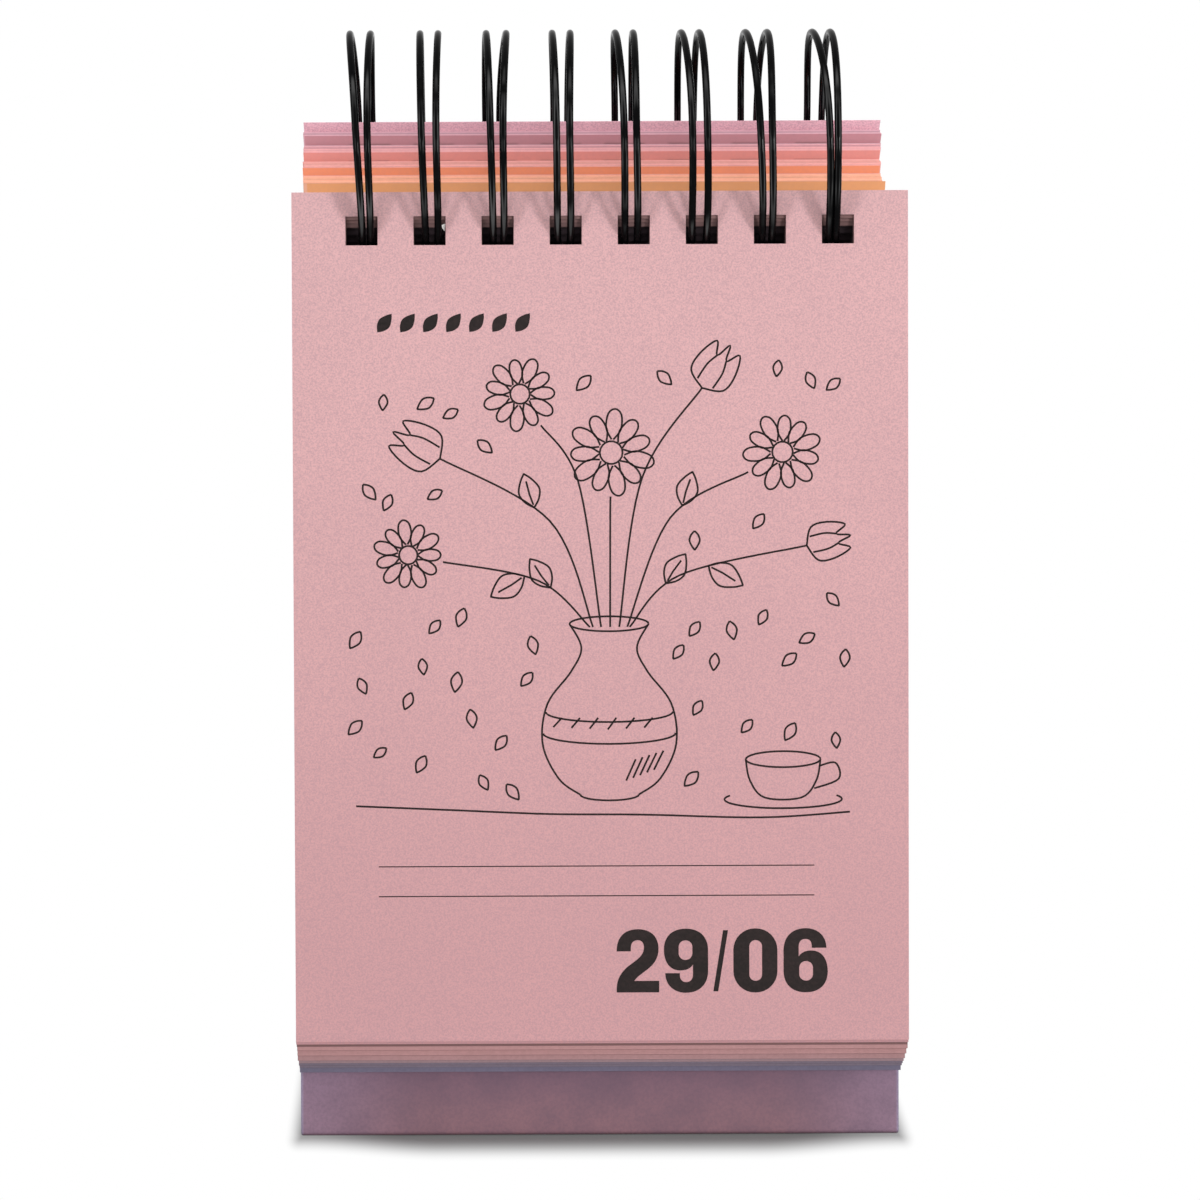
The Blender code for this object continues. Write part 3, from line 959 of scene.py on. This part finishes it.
# A chip of paper left from the punching, in the second hole: outline in millimetres on the page
chip = {
    "lift": -0.0004,
    "outline": [(-28.72, 152.9), (-29.5, 152.6), (-29.35, 151.95), (-28.95, 151.45)],
    "paper": {
        **pagePaper,
        "low": srgb(240, 238, 234),
        "high": srgb(242, 240, 236),
        "tint": srgb(214, 206, 202),
    },
}
addInkShapes("paperChip", [chip["outline"]], printedPaper("chipPaper", chip["paper"]),
             {**tomorrow, "plane": pagePlane(chip["lift"])})
print("stage: paper chip")


# Turned pile: the months gone by, curling in around the rings, and yesterday's page
turnedPile = {
    "inner": 0.013,
    "monthThickness": 0.0015,
    "pageThickness": 0.00025,
    "gap": 0.0003,
    "innerRise": 0.0015,
    "outerRise": 0.0002,
    "turn": math.radians(24.0),
    "squeeze": 0.42,
    "leavesPerMonth": 24,
    "leafWidth": 0.1149,
    "pageWidth": 0.1148,
    "slipUp": 0.00003,
    "slipAcross": 0.00028,
    "firstSlip": 0.0007,
    "steps": (0.374, 0.643, 0.861, 0.965),
    "packShare": 0.45,
    "shadowShare": 0.5,
    "seed": 30,
    "curlStops": (0.0, 0.003, 0.006, 0.009),
    "months": {
        # Each month's bare leaf shows as a darker band: partly the leaves' own colour, such as the gold first
        # leaf, and partly painted shade in the steps between packs
        "leaves_jan": ((202, 139, 95), (233, 172, 144), (237, 176, 150), (235, 174, 148), 0.5),
        "leaves_feb": ((204, 121, 87), (235, 174, 148), (237, 178, 150), (235, 174, 150), 0.5),
        "leaves_mar": ((214, 130, 96), (233, 172, 148), (231, 170, 164), (233, 170, 166), 0.4),
        "leaves_apr": ((212, 134, 126), (231, 170, 164), (231, 168, 160), (229, 168, 164), 0.5),
        "leaves_may": ((212, 134, 126), (233, 174, 174), (231, 172, 174), (229, 170, 174), 0.5),
        "leaves_jun": ((187, 130, 138), (227, 168, 174), (214, 170, 180), (210, 164, 176), 0.4),
    },
}
turnedDepth = (len(turnedPile["months"]) * (turnedPile["monthThickness"] + turnedPile["gap"])
               + turnedPile["pageThickness"])
turnedShape = pileShape(turnedPile, 1.0, turnedPile["inner"], turnedDepth,
                        {"Pile Turn": turnedPile["turn"], "Squeeze": turnedPile["squeeze"]})
level = turnedPile["inner"]
for seed, (node, colours) in enumerate(turnedPile["months"].items()):
    shape = pileValues(level, turnedPile["monthThickness"], turnedPile["leavesPerMonth"], turnedShape)
    paper = leafPaper("paper_" + node, colours, turnedPile["shadowShare"])
    slip = 0.0 if seed else turnedPile["firstSlip"]
    addStack(node, "stand_and_piles", paper,
             {**shape, "Seed": turnedPile["seed"] + seed, "First Slip": slip},
             turnedPile["leafWidth"], turnedPile["curlStops"])
    level += turnedPile["monthThickness"] + turnedPile["gap"]
yesterdayPaper = printedPaper("mauvePage", {
    **pagePaper, "low": srgb(200, 148, 160), "high": srgb(230, 177, 189), "tint": srgb(160, 120, 134),
})
addStack("page_28_06", "turned_page", yesterdayPaper,
         pileValues(level, turnedPile["pageThickness"], 1, turnedShape),
         turnedPile["pageWidth"], turnedPile["curlStops"])


# Print on yesterday's page, which faces the other turned leaves
def yesterdayPlane():
    up, out = leanAxes(1)
    # The lower half of the page is flat
    vertices = bpy.data.objects["stack_page_28_06"].data.vertices
    spots = [vert.co for vert in vertices if vert.co.z < calendar["ringHeight"] / 2]
    corner = out * min(out.dot(spot) for spot in spots) + up * min(up.dot(spot) for spot in spots)
    return sheetPlane(corner, up, -out)


addSprigPage("yesterday", "tulip", "28/06",
             {"plane": yesterdayPlane(), "body": "turned_page", "slot": "paper_yesterday"})
print("stage: turned pile of leaves")


# Wire comb: one continuous twin-loop wire, drawn as a path and swept by a node tree
wireComb = {
    "radius": 0.00068,
    "sides": 14,
    "cornerTurn": 15,
    "gap": 0.0003,
    "linkAngle": -88.0,
    "tipAngle": 262.0,
    "tipHalf": 0.0009,
    "cornerRadius": 0.0015,
    "limbSteps": 60,
    # Where each loop was bent to: middle and half width in millimetres at these angles round the ring
    "angles": (-88.0, -30.0, 14.0, 88.0, 158.0, 211.0, 262.0),
    "foot": (0.0, 1.6),
    "back": (0.0, 1.5),
    "tip": (0.0, 0.9),
    "bends": (
        ((-0.74, 1.34), (-0.54, 1.95), (0.37, 1.1), (0.96, 0.8)),
        ((-0.74, 1.4), (-0.15, 1.71), (0.04, 1.37), (0.43, 1.19)),
        ((-0.74, 1.4), (-0.1, 1.9), (-0.16, 1.19), (0.16, 1.02)),
        ((0.19, 1.38), (-0.43, 1.71), (-0.69, 1.23), (-0.35, 1.23)),
        ((0.03, 1.67), (-1.14, 1.71), (-1.08, 1.15), (-0.58, 1.19)),
        ((-0.2, 1.6), (-1.27, 1.71), (-1.02, 1.38), (-0.58, 1.4)),
        ((-0.28, 1.57), (-1.41, 2.05), (-1.56, 1.13), (-0.66, 0.92)),
        ((0.2, 1.45), (-1.74, 1.71), (-1.86, 0.8), (-1.25, 0.66)),
    ),
}


def bentTo(index, angle, which):
    stops = wireComb["angles"]
    values = [wireComb["foot"], wireComb["back"], *wireComb["bends"][index], wireComb["tip"]]
    values = [pair[which] * millimetre for pair in values]
    slopes = [0.0]
    for i in range(1, len(stops) - 1):
        slopes.append((values[i + 1] - values[i - 1]) / (stops[i + 1] - stops[i - 1]))
    slopes.append(0.0)
    for i in range(len(stops) - 1):
        if angle <= stops[i + 1] or i == len(stops) - 2:
            run = stops[i + 1] - stops[i]
            t = min(max((angle - stops[i]) / run, 0.0), 1.0)
            return ((2 * t ** 3 - 3 * t ** 2 + 1) * values[i] + (t ** 3 - 2 * t ** 2 + t) * run * slopes[i]
                    + (3 * t ** 2 - 2 * t ** 3) * values[i + 1] + (t ** 3 - t ** 2) * run * slopes[i + 1])


def onRing(x, angle):
    a = math.radians(angle)
    radius = calendar["ringRadius"]
    return (x, radius * math.cos(a), calendar["ringHeight"] + radius * math.sin(a))


def loopPath(index):
    place = holeCentre(index)
    arc = math.degrees(1.0 / calendar["ringRadius"])
    corner = wireComb["cornerRadius"]
    first = wireComb["linkAngle"] + corner * arc

    def limb(sign):
        points = []
        for i in range(wireComb["limbSteps"] + 1):
            angle = first + (wireComb["tipAngle"] - first) * i / wireComb["limbSteps"]
            middle = place + bentTo(index, angle, 0)
            points.append(onRing(middle + sign * bentTo(index, angle, 1), angle))
        return points

    def link(sign):
        centre = place + sign * (bentTo(index, first, 1) + corner)
        end = calendar["holePitch"] / 2 - wireComb["gap"] / 2
        points = [onRing(place + sign * end, wireComb["linkAngle"])]
        for turn in range(90, 0, -wireComb["cornerTurn"]):
            a = math.radians(turn)
            points.append(onRing(centre - sign * corner * math.cos(a),
                                 wireComb["linkAngle"] + corner * (1 - math.sin(a)) * arc))
        return points

    tip = []
    for turn in range(180 - wireComb["cornerTurn"], 0, -wireComb["cornerTurn"]):
        a = math.radians(turn)
        tip.append(onRing(place + wireComb["tipHalf"] * math.cos(a),
                          wireComb["tipAngle"] + wireComb["tipHalf"] * math.sin(a) * arc))
    return link(-1) + limb(-1) + tip + limb(1)[::-1] + link(1)[::-1]


def buildWireSweep():
    tree, given, result = startGroup("wireSweep", "GeometryNodeTree", {
        "Path": "Geometry", "Radius": 0.00065, "Sides": 12, "Coat": "Material",
    }, {"Geometry": "Geometry"})
    curve = ask(tree, "GeometryNodeMeshToCurve", {"Mesh": given["Path"]})
    size = {"Resolution": given["Sides"], "Radius": given["Radius"]}
    profile = ask(tree, "GeometryNodeCurvePrimitiveCircle", size, mode="RADIUS")
    swept = sweepAlong(curve, profile, given["Coat"])
    feed(result["Geometry"], ask(tree, "GeometryNodeSetShadeSmooth", {"Geometry": swept}))
    return tree


wireCoat = {
    "black": (0.0015, 0.0015, 0.0018, 1.0),
    "worn": (0.005, 0.005, 0.006, 1.0),
    "scuffScale": 1300.0,
    "streakScale": 110.0,
    "rippleScale": 420.0,
    "scuffStep": (0.52, 0.78),
    "smooth": 0.07,
    "scuffed": 0.08,
    "lineStart": (0.06, 0.14),
    "lineEnd": (0.18, 0.32),
    "streakStep": (0.38, 0.66),
    "paintedHighlightGloss": 0.9,
    "faceGloss": 0.045,
    "bump": (0.15, 0.0001),
}


def blackCoat():
    material, tree, shader = newMaterial("blackWireCoat")
    coords = objectCoords(tree)
    scuff = softStep(noiseAt(coords, wireCoat["scuffScale"], 4.0, 0.6), *wireCoat["scuffStep"])
    feed(shader["Base Color"], blendColour(scuff, wireCoat["black"], wireCoat["worn"]))
    feed(shader["Roughness"], scuff * wireCoat["scuffed"] + wireCoat["smooth"])
    # Painted highlight: the specular level follows the viewing angle, with a narrow line of strong reflection
    # to each side of the wire, broken up along it, and less reflection towards the grazing edges
    edge = ask(tree, "ShaderNodeLayerWeight", {}, "Facing")
    line = softStep(edge, *wireCoat["lineStart"]) - softStep(edge, *wireCoat["lineEnd"])
    streak = softStep(noiseAt(coords, wireCoat["streakScale"], 2.0), *wireCoat["streakStep"])
    gloss = (1.0 - edge) * wireCoat["faceGloss"] + line * streak * wireCoat["paintedHighlightGloss"]
    feed(shader["Specular IOR Level"], gloss)
    feed(shader["Normal"], bumpFrom(noiseAt(coords, wireCoat["rippleScale"]), *wireCoat["bump"]))
    return material


combPath = []
for index in range(calendar["holeCount"]):
    combPath += loopPath(index)
pathMesh = bpy.data.meshes.new("combPath")
pathMesh.from_pydata(combPath, [(i, i + 1) for i in range(len(combPath) - 1)], [])
comb = addPiece("wireComb", pathMesh)
growPiece(comb, buildWireSweep(),
          {"Radius": wireComb["radius"], "Sides": wireComb["sides"], "Coat": blackCoat()})
mendNormals(comb.data)
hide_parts(*["wire_loop_" + str(i + 1) for i in range(calendar["holeCount"])])
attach(comb, "stand_and_piles")
print("stage: wire comb")


# Stand: covering paper, lining and grey board
coverLook = {
    "middle": srgb(120, 92, 110),
    "low": srgb(145, 108, 117),
    "side": srgb(156, 130, 154),
    "paintedRimLightAndShade": srgb(168, 160, 190),
    "footLine": srgb(92, 66, 70),
    "tint": srgb(92, 78, 96),
    "rise": (0.002, 0.0165),
    "halfWidth": 0.0575,
    "sideStart": 0.55,
    "sideShare": 0.6,
    "paintedHighlightWidth": 0.0007,
    "paintedHighlightShare": 0.8,
    "footRise": (0.0002, 0.0011),
    "footShare": 0.7,
}


def coverPaper():
    material, tree, shader = newMaterial("mauveCover")
    x, _, z = axesOf(objectCoords(tree))
    half = coverLook["halfWidth"]
    # Lighter at the foot and darker higher up: painted shade under the overhanging leaves
    colour = blendColour(softStep(z, *coverLook["rise"]), coverLook["low"], coverLook["middle"])
    side = softStep(abs(x), half * coverLook["sideStart"], half) * coverLook["sideShare"]
    colour = blendColour(side, colour, coverLook["side"])
    # Painted highlight: a lighter line along the rounded side edges
    paintedRimLightAndShade = softStep(abs(x), half - coverLook["paintedHighlightWidth"], half) * coverLook["paintedHighlightShare"]
    colour = blendColour(paintedRimLightAndShade, colour, coverLook["paintedRimLightAndShade"])
    foot = (1.0 - softStep(z, *coverLook["footRise"])) * coverLook["footShare"]
    surface = useGroup(tree, paperSurface, {
        "Colour": blendColour(foot, colour, coverLook["footLine"]), "Mottle": 0.22, "Mottle Scale": 1700.0,
        "Cloud": 0.3, "Cloud Scale": 110.0, "Tint": coverLook["tint"], "Roughness": 0.62,
    })
    finishPaper(shader, surface, bump=(0.2, 0.00006))
    return material


def dressNode(node, material):
    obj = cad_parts[node]
    for slot in obj.material_slots:
        slot.material = material


stand = {
    "width": 0.115,
    "frontOffset": 0.0030,
    "backOffset": 0.0127,
    "thickness": 0.0030,
    "paper": 0.0002,
    "flap": 0.0023,
    "cover": 0.0025,
    "turnIn": 0.012,
    "holeRise": -0.0004,
    "gap": 0.0003,
    "foldRadius": 0.0011,
    "edgeRadius": 0.00035,
    "edgeSegments": 3,
    "bevelAngle": math.radians(50.0),
    "sharpAngle": math.radians(32.0),
    # Radii of the outer and inner folds of the paper and its two cutters, as shares of the fold radius
    "coverFolds": (1.0, 0.4),
    "pocketFolds": (0.85, 0.45),
    "windowFolds": (0.45, 0.4),
}


def sidePoint(side, u, t):
    lean = calendar["lean"]
    y = side * (u * math.cos(lean) - t * math.sin(lean))
    return (y, u * math.sin(lean) + t * math.cos(lean) + calendar["ringHeight"])


def panelTop(offset):
    return ringDrop(offset - stand["thickness"] / 2) + stand["holeRise"] + calendar["holeDrop"]


def panelFoot(u, z):
    lean = calendar["lean"]
    return (z - calendar["ringHeight"] - u * math.sin(lean)) / math.cos(lean)


def roundCorner(before, corner, after, radius, steps=6):
    a = (Vector(before) - Vector(corner)).normalized()
    b = (Vector(after) - Vector(corner)).normalized()
    half = a.angle(b) / 2
    centre = Vector(corner) + (a + b).normalized() * radius / math.sin(half)
    first = Vector(corner) + a * radius / math.tan(half)
    last = Vector(corner) + b * radius / math.tan(half)
    sweep = (first - centre).angle_signed(last - centre)
    points = []
    for i in range(steps + 1):
        arm = (first - centre).to_3d()
        arm.rotate(Matrix.Rotation(-sweep * i / steps, 3, "Z"))
        points.append((centre.x + arm.x, centre.y + arm.y))
    return points


def standLine(depth, trim, radius):
    front = stand["frontOffset"] - depth
    back = stand["backOffset"] - depth
    corners = [
        sidePoint(-1, front, panelTop(stand["frontOffset"]) - trim),
        sidePoint(-1, front, panelFoot(front, depth)),
        sidePoint(1, back, panelFoot(back, depth)),
        sidePoint(1, back, panelTop(stand["backOffset"]) - trim),
    ]
    folds = roundCorner(*corners[0:3], radius) + roundCorner(*corners[1:4], radius)
    return [corners[0]] + folds + [corners[3]]


def extrudeSide(name, outline, low, high):
    work = bmesh.new()
    paintedShadeNear = [work.verts.new((low, y, z)) for y, z in outline]
    far = [work.verts.new((high, y, z)) for y, z in outline]
    work.faces.new(paintedShadeNear)
    work.faces.new(far[::-1])
    for i in range(len(outline)):
        j = (i + 1) % len(outline)
        work.faces.new((paintedShadeNear[i], far[i], far[j], paintedShadeNear[j]))
    bmesh.ops.recalc_face_normals(work, faces=work.faces)
    return meshFrom(work, name)


def standLayer(name, outer, inner, trim, halfWidth, folds):
    outside, inside = (stand["foldRadius"] * share for share in folds)
    outline = standLine(outer, trim, outside) + standLine(inner, trim, inside)[::-1]
    return extrudeSide(name, outline, -halfWidth, halfWidth)


def punchRow(side, offset):
    centre = panelTop(offset) - calendar["holeDrop"]
    low, high = centre - calendar["holeHeight"] / 2, centre + calendar["holeHeight"] / 2
    inner, outer = offset - stand["thickness"] - stand["gap"], offset + stand["gap"]
    outline = [sidePoint(side, u, t) for u, t in ((inner, low), (outer, low), (outer, high), (inner, high))]
    work = bmesh.new()
    for i in range(calendar["holeCount"]):
        left, right = holeCentre(i) - calendar["holeWidth"] / 2, holeCentre(i) + calendar["holeWidth"] / 2
        work.from_mesh(extrudeSide("punch", outline, left, right))
    return meshFrom(work, "punches")


def addWrappedCover(material):
    half = stand["width"] / 2
    obj = addPiece("wrappedCover", standLayer("cover", 0.0, stand["cover"], 0.0, half, stand["coverFolds"]))
    bevel = obj.modifiers.new("softEdge", "BEVEL")
    bevel.width = stand["edgeRadius"]
    bevel.segments = stand["edgeSegments"]
    bevel.limit_method = "ANGLE"
    bevel.angle_limit = stand["bevelAngle"]
    bakePiece(obj)
    helpers = [addPiece("coverCutter", mesh) for mesh in (
        standLayer("pocket", stand["paper"], stand["flap"], stand["paper"], half - stand["paper"],
                   stand["pocketFolds"]),
        standLayer("window", stand["flap"] - stand["gap"] / 2, stand["cover"] + stand["gap"], stand["turnIn"],
                   half - stand["turnIn"], stand["windowFolds"]),
        punchRow(-1, stand["frontOffset"]),
        punchRow(1, stand["backOffset"]),
    )]
    for cutter in helpers:
        cut = obj.modifiers.new("cut", "BOOLEAN")
        cut.operation = "DIFFERENCE"
        cut.solver = "EXACT"
        cut.object = cutter
    bakePiece(obj)
    for cutter in helpers:
        bpy.data.objects.remove(cutter, do_unlink=True)
    obj.data.materials.clear()
    obj.data.materials.append(material)
    for face in obj.data.polygons:
        face.material_index = 0
        face.use_smooth = True
    obj.data.set_sharp_from_angle(angle=stand["sharpAngle"])
    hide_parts("cover_paper")
    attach(obj, "stand_and_piles")


addWrappedCover(coverPaper())
dressNode("lining_paper", flatPaper("mauveLining", bump=(0.25, 0.00006), values={
    "Colour": srgb(150, 130, 150), "Mottle": 0.3, "Mottle Scale": 900.0, "Cloud": 0.25,
    "Cloud Scale": 50.0, "Tint": srgb(112, 98, 116), "Roughness": 0.8,
}))
board = flatPaper("greyBoard", bump=(0.5, 0.0001), values={
    "Colour": srgb(172, 168, 160), "Mottle": 0.5, "Mottle Scale": 600.0, "Cloud": 0.3,
    "Cloud Scale": 120.0, "Tint": srgb(120, 116, 108), "Roughness": 0.92,
})
for node in ("front_board", "base_board", "back_board"):
    dressNode(node, board)
print("stage: stand")


# Camera at the photograph's angle
view = {
    "spot": (-0.02185, -0.49006, 0.2254),
    "fall": math.radians(14.01),
    "roll": math.radians(-0.24),
    "focal": 2526.6,
    "middle": (484.0, 560.0),
    "frameSize": 1200.0,
    "sensor": 36.0,
    "clip": (0.01, 20.0),
}


def addCamera():
    camera = bpy.data.cameras.new("photoCamera")
    camera.sensor_width = view["sensor"]
    camera.lens = view["sensor"] * view["focal"] / view["frameSize"]
    camera.shift_x = (view["frameSize"] / 2 - view["middle"][0]) / view["frameSize"]
    camera.shift_y = (view["middle"][1] - view["frameSize"] / 2) / view["frameSize"]
    camera.clip_start, camera.clip_end = view["clip"]
    obj = addPiece("photoCamera", camera)
    ahead = Vector((0.0, math.cos(view["fall"]), -math.sin(view["fall"])))
    up = Vector((0.0, math.sin(view["fall"]), math.cos(view["fall"])))
    right = Vector((1.0, 0.0, 0.0))
    turnedRight = right * math.cos(view["roll"]) + up * math.sin(view["roll"])
    turnedUp = up * math.cos(view["roll"]) - right * math.sin(view["roll"])
    turn = Matrix((turnedRight, turnedUp, -ahead)).transposed().to_4x4()
    obj.matrix_world = Matrix.Translation(view["spot"]) @ turn
    bpy.context.scene.camera = obj


studio = {
    "worldFill": 0.25,
    "floorHalf": 3.0,
    "floorSpeckle": 40.0,
    "floorRoughness": 0.9,
    "floorPaintedShadow": (0.3, 0.33),
    "floorFar": (0.84, 0.88),
    "footHalf": (0.0575, 0.0504),
    "footMiddle": 0.005,
    "shadowNear": 0.0005,
    "shadowFar": 0.0102,
    "shadowEnd": 0.0035,
    "endStart": 0.03,
    "sideways": 2.0,
    "floorBlend": (0.004, 0.014),
    "aim": (0.0, 0.0, 0.1),
    "lamps": {
        "keyLeft": ((-0.65, -0.93, 0.42), (0.2, 0.2), 3.0),
        "keyRight": ((0.68, -0.93, 0.42), (0.2, 0.2), 4.9),
        "frontFill": ((0.05, -1.3, 0.5), (1.0, 0.7), 1.9),
        "topSoft": ((0.0, -0.7, 1.0), (0.6, 0.6), 1.9),
        "turnedFill": ((0.05, -1.3, 0.56), (1.0, 0.5), 15.9),
        "backFill": ((0.15, 1.4, 0.36), (1.0, 0.6), 7.0),
    },
}


def seenBy(tree, *kinds):
    rays = addNode(tree, "ShaderNodeLightPath").outputs
    seen = Value(rays["Is " + kinds[0] + " Ray"])
    for kind in kinds[1:]:
        seen = calc("MAXIMUM", seen, Value(rays["Is " + kind + " Ray"]))
    return seen


def paleFloor():
    material, tree, shader = newMaterial("paleFloor")
    coords = objectCoords(tree)
    speckle = noiseAt(coords, studio["floorSpeckle"])
    x, y, _ = axesOf(coords)
    # Distance from the stand's foot: it counts more to the sides and grows towards the ends, where the
    # shadow fades
    halfX, halfY = studio["footHalf"]
    besideX = positive((abs(x) - halfX) * studio["sideways"])
    besideY = positive(abs(y - studio["footMiddle"]) - halfY)
    away = calc("SQRT", besideX ** 2.0 + besideY ** 2.0)
    away = softStep(abs(x), studio["endStart"], halfX) * studio["shadowEnd"] + away
    # Near the foot the floor's own colour is a darker grey: painted shadow deepening the contact shadow;
    # further out it turns pale
    paintedShadeNear = blendColour(speckle, *map(grey, studio["floorPaintedShadow"]))
    beyond = blendColour(speckle, *map(grey, studio["floorFar"]))
    feed(shader["Base Color"], blendColour(softStep(away, *studio["floorBlend"]), paintedShadeNear, beyond))
    feed(shader["Roughness"], studio["floorRoughness"])
    far = softStep(away, studio["shadowNear"], studio["shadowFar"])
    shaded = Value(tree.nodes["Principled BSDF"].outputs[0])
    white = ask(tree, "ShaderNodeEmission", {"Strength": 1.0})
    clear = seenBy(tree, "Camera", "Glossy") * far
    mixed = ask(tree, "ShaderNodeMixShader", {0: clear, 1: shaded, 2: white})
    feed(tree.nodes["Material Output"].inputs["Surface"], mixed)
    return material


def addFloor():
    half = studio["floorHalf"]
    mesh = bpy.data.meshes.new("studioFloor")
    corners = [(-half, -half, 0), (half, -half, 0), (half, half, 0), (-half, half, 0)]
    mesh.from_pydata(corners, [], [(0, 1, 2, 3)])
    mesh.materials.append(paleFloor())
    addPiece("studioFloor", mesh)


def addWorld():
    world = bpy.data.worlds.new("studioWorld")
    bpy.context.scene.world = world
    world.use_nodes = True
    tree = world.node_tree
    plain = tree.nodes["Background"]
    feed(plain.inputs["Color"], grey(1.0))
    feed(plain.inputs["Strength"], studio["worldFill"])
    white = ask(tree, "ShaderNodeBackground", {"Color": grey(1.0)})
    seen = seenBy(tree, "Camera", "Glossy", "Transmission")
    mixed = ask(tree, "ShaderNodeMixShader", {0: seen, 1: Value(plain.outputs[0]), 2: white})
    feed(tree.nodes["World Output"].inputs["Surface"], mixed)


def addLamps():
    pieces = [obj for obj in bpy.context.scene.objects if obj.type == "MESH" and obj.name != "studioFloor"]
    turnedLeaves = [bpy.data.objects["stack_" + node] for node in ("page_28_06", *turnedPile["months"])]
    receivers = {"turnedFill": turnedLeaves, "backFill": pieces}
    for name, (spot, size, power) in studio["lamps"].items():
        lamp = bpy.data.lights.new(name, "AREA")
        lamp.shape = "RECTANGLE"
        lamp.size, lamp.size_y = size
        lamp.energy = power
        obj = addPiece(name, lamp)
        obj.location = spot
        obj.rotation_euler = (Vector(studio["aim"]) - Vector(spot)).to_track_quat("-Z", "Y").to_euler()
        obj.visible_glossy = name.startswith("key")
        if name in receivers:
            lit = bpy.data.collections.new(name + "Receivers")
            for piece in receivers[name]:
                lit.objects.link(piece)
            obj.light_linking.receiver_collection = lit


bpy.context.scene.view_settings.view_transform = "Standard"
addCamera()
addFloor()
addWorld()
addLamps()
print("stage: camera and studio")
